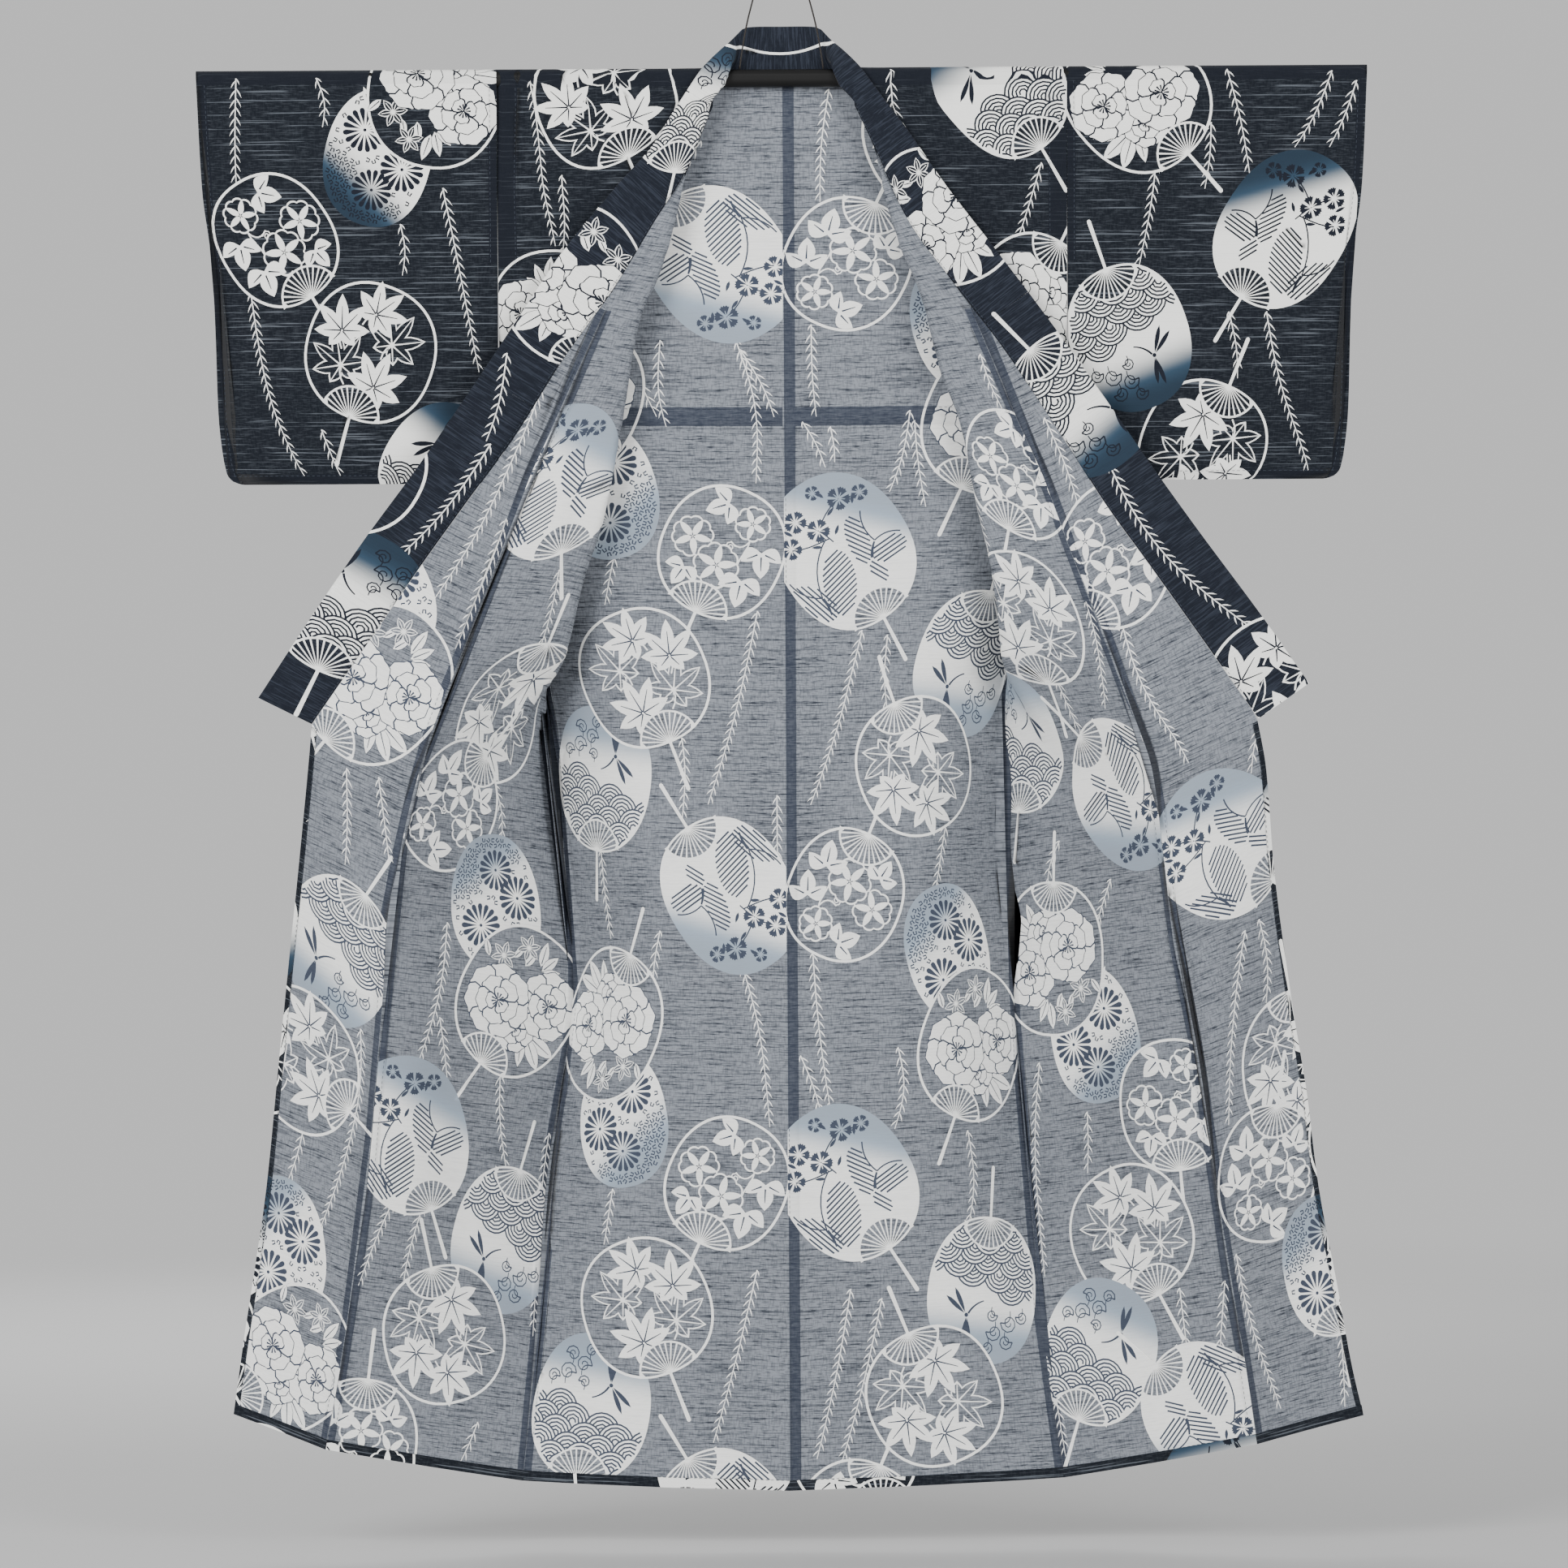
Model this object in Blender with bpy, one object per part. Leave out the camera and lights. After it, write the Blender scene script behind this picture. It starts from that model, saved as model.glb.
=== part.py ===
"""Cotton yukata hung open on a kimono hanger, its two fronts drawn out to the sides.

Metres, +Z up, +X to the viewer's right, the open front faces -Y. The origin is the inside top of
the ring that the hanger's cord goes through. Tables are in millimetres. A "run" is measured along
the cloth from the shoulder fold, a "drop" straight down from it, "out" sideways from the centre
back seam, and "depth" backwards from the middle of the hanger bar.
"""

import math
from collections import namedtuple

import bmesh
import bpy
import numpy as np
from mathutils import Vector

MM = 0.001

# Garment, as measured by a maker
LENGTH = 1668.0  # shoulder fold to hem
SHOULDER = 334.0  # centre back seam to sleeve seam
NECK = 86.0  # centre back seam to the neck point, on the shoulder fold
SLEEVE_DROP = 490.0  # shoulder fold to sleeve bottom
ARMHOLE = 230.0  # shoulder fold to the end of the sleeve seam, and to the end of the hand opening
SIDE_OPENING_END = 370.0  # where the side seam starts
OVERLAP_TOP = 275.0  # run at which the overlap panel meets the collar
COLLAR_END = 853.0  # run at which the collar ends and the overlap panel's own edge starts
CLOTH_WALL = 1.2
COLLAR_WALL = 2.6  # the folded band
COVER_WALL = 3.4  # the folded band with its cover wrapped round it
SEAM_GAP = 0.3

# Hanger
RING_RADIUS = 12.0
RING_WIRE = 1.6
SHOULDER_DROP = 217.0  # hanging point down to the shoulder fold
BAR_RADIUS = 8.0  # half the bar's thickness, and the round of its top and bottom
BAR_HEIGHT = 21.0
BAR_HALF = 555.0
ARM_RADIUS = 6.5
ARM_HEIGHT = 17.0
ARM_END = 661.0
CORD_DIAMETER = 2.0
CORD_SPREAD = 49.0
REST_GAP = 0.7  # between the bar's top and the cloth, whose few facets cut the round
CLOTH_REST = BAR_RADIUS + REST_GAP + CLOTH_WALL / 2  # radius of the cloth over the bar
TOP_SPLIT = 0.45  # each leaf's distance from the middle plane at the shoulder fold
LEAF_MEET = 0.85  # each sleeve leaf's distance from the middle plane at its sewn edges
OVER_BAR = 14.0  # run at which the cloth has turned over the bar and starts to hang

# Where seams end up when the cloth hangs: straight drops below the shoulder fold
SIDE_END_DROP = 1657.0
OVERLAP_TOP_DROP = 260.0
OVERLAP_END_DROP = 1612.0
COLLAR_END_DROP = 766.0
FOLD_DROP = 0.985  # drop over run, along the turned front's fold
BAND_START = 45.0  # run at which the collar leaves the neck and lies on the front

Line = namedtuple("Line", "drop out")
Deep = namedtuple("Deep", "run depth")
Band = namedtuple("Band", "seam_out seam_drop free_out free_drop")
Roll = namedtuple("Roll", "seam crease free")
Flute = namedtuple("Flute", "out half_width start depth")

# Side seam: from the sleeve seam it is drawn in to the waist and falls straight to the hem.
SIDE = {
    "left": [
        Line(0, 334), Line(370, 332), Line(450, 328), Line(550, 319), Line(650, 302),
        Line(720, 288), Line(787, 274), Line(909, 264), Line(1055, 252), Line(1157, 261),
        Line(1266, 281), Line(1347, 290), Line(1508, 299), Line(1657, 314),
    ],
    "right": [
        Line(0, 334), Line(370, 332), Line(450, 326), Line(550, 314), Line(650, 290),
        Line(732, 262), Line(805, 258), Line(897, 256), Line(1023, 266), Line(1201, 276),
        Line(1347, 288), Line(1476, 298), Line(1651, 323),
    ],
}

# Edge of the fold in each turned-back front, from the collar down to where it meets the side seam.
FOLD = {
    "left": [
        Line(0, 80), Line(60, 92), Line(117, 110), Line(152, 118), Line(201, 129), Line(248, 144),
        Line(301, 167), Line(415, 187), Line(535, 211), Line(603, 234), Line(677, 252),
        Line(752, 275),
    ],
    "right": [
        Line(0, 82), Line(91, 107), Line(164, 122), Line(214, 137), Line(270, 160), Line(364, 184),
        Line(419, 205), Line(515, 224), Line(598, 242), Line(669, 251), Line(752, 256),
    ],
}

# Seam between front and overlap panel.
OVERLAP_SEAM = {
    "left": [
        Line(260, 198), Line(359, 238), Line(478, 296), Line(571, 329), Line(657, 364),
        Line(752, 403), Line(837, 431), Line(928, 452), Line(1005, 466), Line(1101, 471),
        Line(1174, 478), Line(1309, 491), Line(1425, 508), Line(1527, 525), Line(1611, 541),
    ],
    "right": [
        Line(260, 205), Line(294, 226), Line(398, 266), Line(490, 306), Line(592, 342),
        Line(681, 378), Line(758, 405), Line(825, 427), Line(928, 440), Line(1026, 451),
        Line(1147, 477), Line(1309, 499), Line(1396, 511), Line(1516, 532), Line(1614, 546),
    ],
}

# Free edge of the overlap panel, below the collar.
FREE_EDGE = {
    "left": [
        Line(766, 551), Line(824, 557), Line(928, 569), Line(1060, 585), Line(1167, 597),
        Line(1309, 612), Line(1403, 626), Line(1484, 639), Line(1575, 652),
    ],
    "right": [
        Line(768, 550), Line(822, 560), Line(928, 569), Line(1103, 593), Line(1201, 609),
        Line(1309, 622), Line(1431, 644), Line(1527, 661), Line(1584, 674),
    ],
}

# Collar down each front: where its seam and its free edge lie.
COLLAR = {
    "left": [
        Band(79, 42, 108, 23), Band(95, 80, 130, 57), Band(110, 117, 151, 91),
        Band(149, 180, 192, 137), Band(198, 260, 260, 220), Band(257, 342, 316, 304),
        Band(315, 434, 377, 395), Band(371, 510, 429, 470), Band(426, 586, 486, 547),
        Band(489, 677, 549, 638), Band(551, 766, 613, 735),
    ],
    "right": [
        Band(84, 42, 109, 24), Band(107, 91, 141, 66), Band(146, 179, 193, 142),
        Band(200, 255, 249, 216), Band(256, 330, 307, 294), Band(319, 426, 373, 388),
        Band(377, 518, 435, 479), Band(424, 584, 481, 544), Band(501, 694, 559, 651),
        Band(551, 766, 610, 725),
    ],
}
COVER_ENDS = {"left": 400.0, "right": 305.0}  # drop of the collar seam at which the cover ends

# Collar round the neck, from the centre back to the front: (out, depth, height above the shoulder)
NECK_ROLLS = [
    Roll((0, 10.4, -7), (0, 12, 21), (0, 15, 50)),
    Roll((38, 10.4, -7), (35, 12, 21), (32, 15, 50)),
    Roll((60, 10.2, -6), (51, 11, 17), (46, 13, 47)),
    Roll((74, 7, 1), (56, 4, 10), (58, 8, 34)),
    Roll((81, -1, 5), (59, -8, 6), (70, -2, 23)),
    Roll((84, -12, -4), (63, -15, -9), (84, -11, 9)),
    Roll((83, -15.5, -20), (71, -18, -23), (96, -16, -5)),
]

# Depth of each line, the same on both sides
BACK_DEPTH = [Deep(14, 9.0), Deep(60, 10.5), Deep(200, 13), Deep(700, 14), Deep(LENGTH, 10)]
SIDE_DEPTH = [
    Deep(14, 8.9), Deep(230, 8.0), Deep(370, 9), Deep(450, 26), Deep(600, 62), Deep(750, 97),
    Deep(900, 115), Deep(1050, 121), Deep(1200, 116), Deep(1350, 98), Deep(1500, 74),
    Deep(1600, 54), Deep(LENGTH, 42),
]
FRONT_EDGE_DEPTH = [Deep(14, -8.9), Deep(230, -8.0), Deep(300, -5), Deep(370, 7.7)]
FOLD_DEPTH = [
    Deep(0, -13), Deep(117, -15), Deep(275, -19), Deep(450, -19), Deep(600, -12), Deep(700, 8),
    Deep(760, 40), Deep(850, 62),
]
OVERLAP_DEPTH = [
    Deep(275, -27), Deep(450, -35), Deep(600, -43), Deep(740, -52), Deep(850, -58),
    Deep(1000, -57), Deep(1200, -52), Deep(1400, -47), Deep(LENGTH, -40),
]
COLLAR_DEPTH = [
    Deep(42, -17), Deep(117, -19), Deep(180, -22), Deep(260, -28), Deep(342, -34), Deep(434, -40),
    Deep(586, -48), Deep(766, -57),
]
EDGE_DEPTH = [
    Deep(853, -57), Deep(900, -48), Deep(1000, -25), Deep(1100, -5), Deep(1250, 14),
    Deep(1450, 22), Deep(LENGTH, 20),
]
FOLD_ROUND = [Deep(0, 1.0), Deep(117, 2.0), Deep(200, 5.0), Deep(450, 8.0), Deep(700, 9.0)]
BAND_AT_SHOULDER = -13.6
UNDER_BAND = 4.2  # how far behind the collar a front's edge runs, above its turned-back part
LOOP_CLOSES = 700.0  # run at which the front's fold starts to open out
LOOP_END = 850.0  # run below which the front has no fold left and swings straight out

# Sleeve: outer edge and how far each leaf stands from the bar's middle plane
SLEEVE_EDGE = [
    Line(0, 686), Line(140, 679), Line(220, 669), Line(300, 665), Line(400, 662),
    Line(456, 656), Line(480, 649), Line(490, 634),
]
SLEEVE_DEPTH = [
    Deep(14, 8.9), Deep(230, 8.0), Deep(350, 7.6), Deep(430, 6.0), Deep(470, 3.0),
    Deep(SLEEVE_DROP, LEAF_MEET),
]

# Soft flutes that run down the back panels
BACK_FLUTES = [
    Flute(60, 40, 560, 5.0),
    Flute(135, 45, 700, -7.0),
    Flute(205, 35, 900, 6.0),
]

BACK_NECK_COLUMNS = 3
BACK_SIDE_COLUMNS = 8
FRONT_COLUMNS = 16
OVERLAP_COLUMNS = 6
SLEEVE_COLUMNS = 11
RUNS = [
    0, 5, 10, 14, 30, 60, 90, 117, 155, 200, 235, 275, 325, 370, 420, 475, 530, 585, 640, 690,
    735, 775, 810, 853, 900, 960, 1030, 1110, 1200, 1300, 1400, 1500, 1590, LENGTH,
]
SLEEVE_RUNS = [0, 5, 10, 14, 40, 90, 150, 200, 230, 260, 310, 370, 420, 450, 470, 482, 490]


def rise(low, high, at):
    """0 below low, 1 above high, smooth between."""
    t = min(max((at - low) / (high - low), 0.0), 1.0)
    return t * t * (3 - 2 * t)


def smooth(table, at, value=1, key=0):
    """Column value of a table at a place in column key, on a curve that never overshoots."""
    xs = [row[key] for row in table]
    ys = [row[value] for row in table]
    if at <= xs[0]:
        return ys[0]
    if at >= xs[-1]:
        return ys[-1]
    slopes = [(ys[i + 1] - ys[i]) / (xs[i + 1] - xs[i]) for i in range(len(xs) - 1)]
    tangents = [slopes[0]]
    for before, after in zip(slopes, slopes[1:]):
        same_way = before * after > 0
        tangents.append(2 * before * after / (before + after) if same_way else 0.0)
    tangents.append(slopes[-1])
    i = max(k for k in range(len(xs) - 1) if xs[k] <= at)
    width = xs[i + 1] - xs[i]
    t = (at - xs[i]) / width
    start = (1 + 2 * t) * (1 - t) ** 2 * ys[i] + t * (1 - t) ** 2 * width * tangents[i]
    end = t * t * (3 - 2 * t) * ys[i + 1] + t * t * (t - 1) * width * tangents[i + 1]
    return start + end


def soft_path(corners, samples=160):
    """Points on a cubic B-spline that starts and ends at the first and last corner."""
    corners = [np.array(c, float) for c in corners]
    ends = [2 * corners[0] - corners[1], 2 * corners[-1] - corners[-2]]
    hull = [ends[0], *corners, ends[1]]
    points = []
    for i in range(len(hull) - 3):
        last = i == len(hull) - 4
        for t in np.linspace(0, 1, samples // (len(hull) - 3), endpoint=last):
            weights = (
                (1 - t) ** 3 / 6,
                (3 * t**3 - 6 * t**2 + 4) / 6,
                (-3 * t**3 + 3 * t**2 + 3 * t + 1) / 6,
                t**3 / 6,
            )
            points.append(sum(w * p for w, p in zip(weights, hull[i : i + 4])))
    return np.array(points)


def spaced(points, fractions):
    """Points at these fractions of a path's length."""
    steps = np.linalg.norm(np.diff(points, axis=0), axis=1)
    run = np.concatenate([[0.0], np.cumsum(steps)])
    return [
        np.array([np.interp(f * run[-1], run, points[:, k]) for k in range(3)]) for f in fractions
    ]


def trimmed(points, start, end):
    """A path with these lengths cut off its ends."""
    steps = np.linalg.norm(np.diff(points, axis=0), axis=1)
    length = steps.sum()
    return np.array(spaced(points, np.linspace(start / length, 1 - end / length, len(points))))


def over_bar(run, depth):
    """(depth, height) of cloth at a run, over the bar's round top and then down at its depth."""
    quarter = CLOTH_REST * math.pi / 2
    sign = math.copysign(1.0, depth)
    if run < quarter:
        angle = run / CLOTH_REST
        return sign * CLOTH_REST * math.sin(angle), CLOTH_REST * (math.cos(angle) - 1)
    return depth, -CLOTH_REST - (run - quarter)


def side_point(side, run):
    """Side seam, (out, depth, height)."""
    depth, height = over_bar(run, smooth(SIDE_DEPTH, run))
    if run > OVER_BAR:
        height = -run * SIDE_END_DROP / LENGTH
    return np.array([smooth(SIDE[side], -height), depth, height])


def collar_point(side, run):
    """Collar seam at the cloth's own run, (out, depth, height)."""
    if run < OVERLAP_TOP:
        drop = run * OVERLAP_TOP_DROP / OVERLAP_TOP
    else:
        share = (run - OVERLAP_TOP) / (COLLAR_END - OVERLAP_TOP)
        drop = OVERLAP_TOP_DROP + share * (COLLAR_END_DROP - OVERLAP_TOP_DROP)
    top = COLLAR[side][0]
    if drop < top.seam_drop:
        part = drop / top.seam_drop
        depth = BAND_AT_SHOULDER + (COLLAR_DEPTH[0].depth - BAND_AT_SHOULDER) * part
        return np.array([NECK + (top.seam_out - NECK) * part, depth, -drop])
    out = smooth(COLLAR[side], drop, value=0, key=1)
    return np.array([out, smooth(COLLAR_DEPTH, drop), -drop])


def overlap_point(side, run):
    """Seam between front and overlap panel, or the collar seam above it."""
    if run < OVERLAP_TOP:
        return collar_point(side, run)
    share = (run - OVERLAP_TOP) / (LENGTH - OVERLAP_TOP)
    drop = OVERLAP_TOP_DROP + share * (OVERLAP_END_DROP - OVERLAP_TOP_DROP)
    table = OVERLAP_SEAM[side]
    onto_collar = collar_point(side, OVERLAP_TOP)[0] - table[0].out
    out = smooth(table, drop) + onto_collar * (1 - rise(OVERLAP_TOP, OVERLAP_TOP + 60, run))
    return np.array([out, smooth(OVERLAP_DEPTH, run), -drop])


def edge_point(side, run):
    """Overlap panel's outer line: the collar seam, and below it the free edge."""
    if run < COLLAR_END:
        return collar_point(side, run)
    share = (run - COLLAR_END) / (LENGTH - COLLAR_END)
    drop = COLLAR_END_DROP + share * (FREE_EDGE[side][-1].drop - COLLAR_END_DROP)
    return np.array([smooth(FREE_EDGE[side], drop), smooth(EDGE_DEPTH, run), -drop])


def back_row(side, run):
    """The back panel's line at a run, from the centre back seam to the side seam."""
    edge = side_point(side, run)
    middle = smooth(BACK_DEPTH, run)
    bend = edge[1] - middle
    corners = []
    for part, share in ((0, 0), (0.22, 0), (0.44, 0.0), (0.62, 0.07), (0.8, 0.36), (1, 1)):
        out = part * edge[0]
        depth = middle + share * bend
        for flute in BACK_FLUTES:
            across = max(0.0, 1 - abs(out - flute.out) / flute.half_width)
            along = rise(flute.start, flute.start + 300, run)
            depth += flute.depth * across * along
        corners.append((out, depth, -run + (edge[2] + run) * part))
    return soft_path(corners)


def front_row(side, run):
    """The front panel's line at a run: in from the side, round the fold and out to its seam."""
    end = overlap_point(side, run)
    end[1] += UNDER_BAND * (1 - rise(125, 190, run))
    start = side_point(side, run)
    if run < SIDE_OPENING_END:
        start[1] = smooth(FRONT_EDGE_DEPTH, run)
    else:
        start += (0.4, -1.3, 0)
    fold_out = smooth(FOLD[side], run * FOLD_DROP)
    fold_depth = smooth(FOLD_DEPTH, run)
    half = smooth(FOLD_ROUND, run)
    swing = rise(LOOP_CLOSES, LOOP_END, run)
    reach = min(18.0, max(1.0, (end[0] - fold_out) * 0.5))
    turns = (
        (fold_out + (start[0] - fold_out) * 0.5, (fold_depth + half + start[1]) / 2, 0.15),
        (fold_out + 16, fold_depth + half, 0.3),
        (fold_out, fold_depth + half * 0.8, 0.42),
        (fold_out, fold_depth - half * 0.8, 0.54),
        (fold_out + reach, fold_depth - half, 0.7),
        (fold_out + (end[0] - fold_out) * 0.6, (fold_depth - half) * 0.4 + end[1] * 0.6, 0.85),
    )
    corners = [start]
    for out, depth, share in turns:
        folded = np.array([out, depth, start[2] + (end[2] - start[2]) * share])
        straight = start + (end - start) * share
        straight[1] -= 10 * math.sin(math.pi * share) * rise(900, 1200, run)
        corners.append(folded * (1 - swing) + straight * swing)
    corners.append(end)
    return soft_path(corners, 210)


def overlap_row(side, run):
    """The overlap panel's line at a run, from the front's seam to the collar or free edge."""
    start = overlap_point(side, run)
    end = edge_point(side, run)
    corners = [start]
    for share in (0.3, 0.65):
        point = start + (end - start) * share
        point[1] += 5 * math.sin(math.pi * share) * rise(1000, 1300, run)
        corners.append(point)
    return soft_path([*corners, end], 90)


def placed(point, side):
    """A (out, depth, height) point of one side, in metres in the part's frame."""
    out, depth, height = point
    across = -out if side == "left" else out
    return Vector((across * MM, depth * MM, (height - SHOULDER_DROP) * MM))


def material(name, colour, roughness, metallic=0.0):
    """A plain Principled material."""
    made = bpy.data.materials.new(name)
    made.use_nodes = True
    shader = made.node_tree.nodes["Principled BSDF"]
    shader.inputs["Base Color"].default_value = (*colour, 1)
    shader.inputs["Roughness"].default_value = roughness
    shader.inputs["Metallic"].default_value = metallic
    made.diffuse_color = (*colour, 1)
    return made


def show(name, mesh, finish):
    """Put a mesh in the scene as one object with one material."""
    made = bpy.data.objects.new(name, mesh)
    mesh.materials.append(finish)
    bpy.context.scene.collection.objects.link(made)
    return made


def cloth(name, rows, finish, wall=CLOTH_WALL):
    """A wall of cloth through a grid of points, which may close to a point or be cut away."""
    shape = bmesh.new()
    grid = [[point and shape.verts.new(point) for point in row] for row in rows]
    for above, below in zip(grid, grid[1:]):
        for i in range(len(above) - 1):
            corners = (above[i], above[i + 1], below[i + 1], below[i])
            if all(corners):
                shape.faces.new(corners)
    bmesh.ops.remove_doubles(shape, verts=shape.verts, dist=0.00005)
    bmesh.ops.dissolve_degenerate(shape, edges=shape.edges, dist=0.00005)
    bmesh.ops.recalc_face_normals(shape, faces=shape.faces)
    mesh = bpy.data.meshes.new(name)
    shape.to_mesh(mesh)
    shape.free()
    mesh.shade_smooth()
    made = show(name, mesh, finish)
    thick = made.modifiers.new("wall", "SOLIDIFY")
    thick.thickness = wall * MM
    thick.offset = 0
    return made


def tube_of_sections(name, sections, finish):
    """A closed body through rings of points, capped at both ends."""
    shape = bmesh.new()
    rings = [[shape.verts.new(point) for point in ring] for ring in sections]
    for here, there in zip(rings, rings[1:]):
        for i in range(len(here)):
            j = (i + 1) % len(here)
            if (here[i].co - there[j].co).length < (here[j].co - there[i].co).length:
                shape.faces.new((here[i], here[j], there[j]))
                shape.faces.new((here[i], there[j], there[i]))
            else:
                shape.faces.new((here[i], here[j], there[i]))
                shape.faces.new((here[j], there[j], there[i]))
    shape.faces.new(rings[0][::-1])
    shape.faces.new(rings[-1])
    bmesh.ops.recalc_face_normals(shape, faces=shape.faces)
    mesh = bpy.data.meshes.new(name)
    shape.to_mesh(mesh)
    shape.free()
    mesh.shade_smooth()
    mesh.set_sharp_from_angle(angle=math.radians(40))
    return show(name, mesh, finish)


def back_fractions():
    """Where the back's columns stand: one lies at the neck point, the rest share the width."""
    neck = NECK / SHOULDER
    inside = np.linspace(0, neck, BACK_NECK_COLUMNS + 1)
    return np.concatenate([inside, np.linspace(neck, 1, BACK_SIDE_COLUMNS + 1)[1:]])


def make_back(side, finish):
    """Back half of the body: flat at the centre, falling back into a valley at the side seam."""
    rows = []
    for run in RUNS:
        path = back_row(side, run)
        if run < OVER_BAR:
            path[:, 1], path[:, 2] = over_bar(run, CLOTH_REST)
        if run == 0:
            path[:, 1] += TOP_SPLIT
        row = [placed(point, side) for point in spaced(trimmed(path, 0.15, 0.3), back_fractions())]
        if run < OVER_BAR:
            row[:BACK_NECK_COLUMNS] = [None] * BACK_NECK_COLUMNS
        rows.append(row)
    return cloth(f"back_{side}", rows, finish)


def front_fractions():
    """Where the front's columns stand: closer together round the fold."""
    steps = [1.0, 1.0, 1.0, 0.9, 0.7, 0.45, 0.3, 0.3, 0.3, 0.45, 0.6, 0.7, 0.8, 0.8, 0.8, 0.8]
    places = np.concatenate([[0.0], np.cumsum(steps)])
    return places / places[-1]


def make_front(side, finish):
    """Front half of the body, from the shoulder fold to the hem, folded back on itself above."""
    rows = []
    for run in RUNS:
        path = front_row(side, run)
        if run < OVER_BAR:
            path[:, 1], path[:, 2] = over_bar(run, -CLOTH_REST)
        if run == 0:
            path[:, 1] -= TOP_SPLIT
        path = trimmed(path, 0.2, 0.5)
        rows.append([placed(point, side) for point in spaced(path, front_fractions())])
    return cloth(f"front_{side}", rows, finish)


def make_overlap(side, finish):
    """Overlap panel: a point at the collar that widens to the collar's end, then a straight strip."""
    rows = []
    fractions = np.linspace(0, 1, OVERLAP_COLUMNS + 1)
    runs = [OVERLAP_TOP + 20, *(run for run in RUNS if run > OVERLAP_TOP + 20)]
    for run in runs:
        path = trimmed(overlap_row(side, run), 0.5, 0.5 if run < COLLAR_END else 0.0)
        rows.append([placed(point, side) for point in spaced(path, fractions)])
    return cloth(f"okumi_{side}", rows, finish)


def sleeve_depth(run, part, sign):
    """How far a sleeve leaf stands from the bar's middle plane, closing at its sewn edges."""
    depth, height = over_bar(run, sign * smooth(SLEEVE_DEPTH, run))
    closed = rise(ARMHOLE, ARMHOLE + 40, run) * rise(0.86, 1.0, part)
    return depth + (sign * LEAF_MEET - depth) * closed, height


def make_sleeve(side, leaf, finish):
    """One leaf of a sleeve: over the bar at the top, down to the sewn bottom."""
    sign = -1.0 if leaf == "front" else 1.0
    rows = []
    for run in SLEEVE_RUNS:
        row = []
        for part in np.linspace(0, 1, SLEEVE_COLUMNS + 1):
            depth, height = sleeve_depth(run, part, sign)
            inner = SHOULDER + SEAM_GAP + 0.5
            out = inner + (smooth(SLEEVE_EDGE, -height) - inner) * part
            if run == 0:
                depth += sign * TOP_SPLIT
            row.append(placed((out, depth, height), side))
        rows.append(row)
    return cloth(f"sleeve_{side}_{leaf}", rows, finish)


def band_station(side, run):
    """The collar's (seam, crease, free) points on a front, at the cloth's own run."""
    seam = collar_point(side, run)
    drop = -seam[2]
    free_depth = seam[1] - 1.5 - 3.0 * rise(60, 400, drop)
    free_out = smooth(COLLAR[side], drop, value=2, key=1)
    free_drop = smooth(COLLAR[side], drop, value=3, key=1)
    free = np.array([free_out, free_depth, -free_drop])
    crease = (seam + free) / 2 + np.array([0, -1.5, 0])
    return [placed(point, side) for point in (seam, crease, free)]


def collar_stations():
    """The collar's (seam, crease, free) points from the left end round the neck to the right."""
    halves = {}
    for side in ("left", "right"):
        rolls = [[placed(point, side) for point in roll] for roll in NECK_ROLLS]
        fronts = [band_station(side, run) for run in RUNS if BAND_START < run <= COLLAR_END]
        halves[side] = dense(rolls + fronts[:1], 3)[:-1] + fronts
    return halves["left"][::-1] + halves["right"][1:]


def dense(stations, between):
    """Stations with smooth ones set between them, by a Catmull-Rom curve through each column."""
    ends = [stations[0], *stations, stations[-1]]
    filled = []
    for i in range(len(ends) - 3):
        for k in range(between):
            t = k / between
            row = []
            for a, b, c, d in zip(*ends[i : i + 4]):
                row.append(
                    0.5
                    * (
                        2 * b
                        + (c - a) * t
                        + (2 * a - 5 * b + 4 * c - d) * t * t
                        + (3 * b - a - 3 * c + d) * t**3
                    )
                )
            filled.append(row)
    filled.append(list(stations[-1]))
    return filled


def band_ring(row, along, wall, seam_inset):
    """A flat ring round the band's seam, crease and free points, this thick."""
    seam, crease, free = row
    inward = (crease - seam).normalized()
    seam = seam + inward * seam_inset
    first = along.cross(crease - seam).normalized() * wall / 2
    second = along.cross(free - crease).normalized() * wall / 2
    middle = first + second
    middle = middle.normalized() * wall / 2 / max(middle.length / wall, 0.5)
    return [seam + first, crease + middle, free + second, free - second, crease - middle, seam - first]


def directions(rows):
    """The way the band runs at each station."""
    middles = [row[1] for row in rows]
    ways = []
    for i in range(len(rows)):
        ahead = middles[min(i + 1, len(rows) - 1)]
        behind = middles[max(i - 1, 0)]
        ways.append((ahead - behind).normalized())
    return ways


def shifted(row, way, distance):
    """A station moved this far along the band."""
    return [point + way * distance for point in row]


def make_collar(finish):
    """The band in three bodies: the covered stretch round the neck, and the two ends below it."""
    rows = collar_stations()
    ways = directions(rows)
    covered = []
    for i, row in enumerate(rows):
        drop = -(row[0].z / MM + SHOULDER_DROP)
        if drop < COVER_ENDS["left" if row[0].x < 0 else "right"]:
            covered.append(i)
    first, last = covered[0], covered[-1]
    stretches = (
        ("collar_left", 0, first, COLLAR_WALL),
        ("collar_cover", first, last, COVER_WALL),
        ("collar_right", last, len(rows) - 1, COLLAR_WALL),
    )
    for name, start, end, wall in stretches:
        rings = []
        for i in range(start, end + 1):
            inward = (i == start) - (i == end)
            row = shifted(rows[i], ways[i], inward * SEAM_GAP / 2 * MM)
            rings.append(band_ring(row, ways[i], wall * MM, SEAM_GAP * MM))
        tube_of_sections(name, rings, finish)


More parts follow.
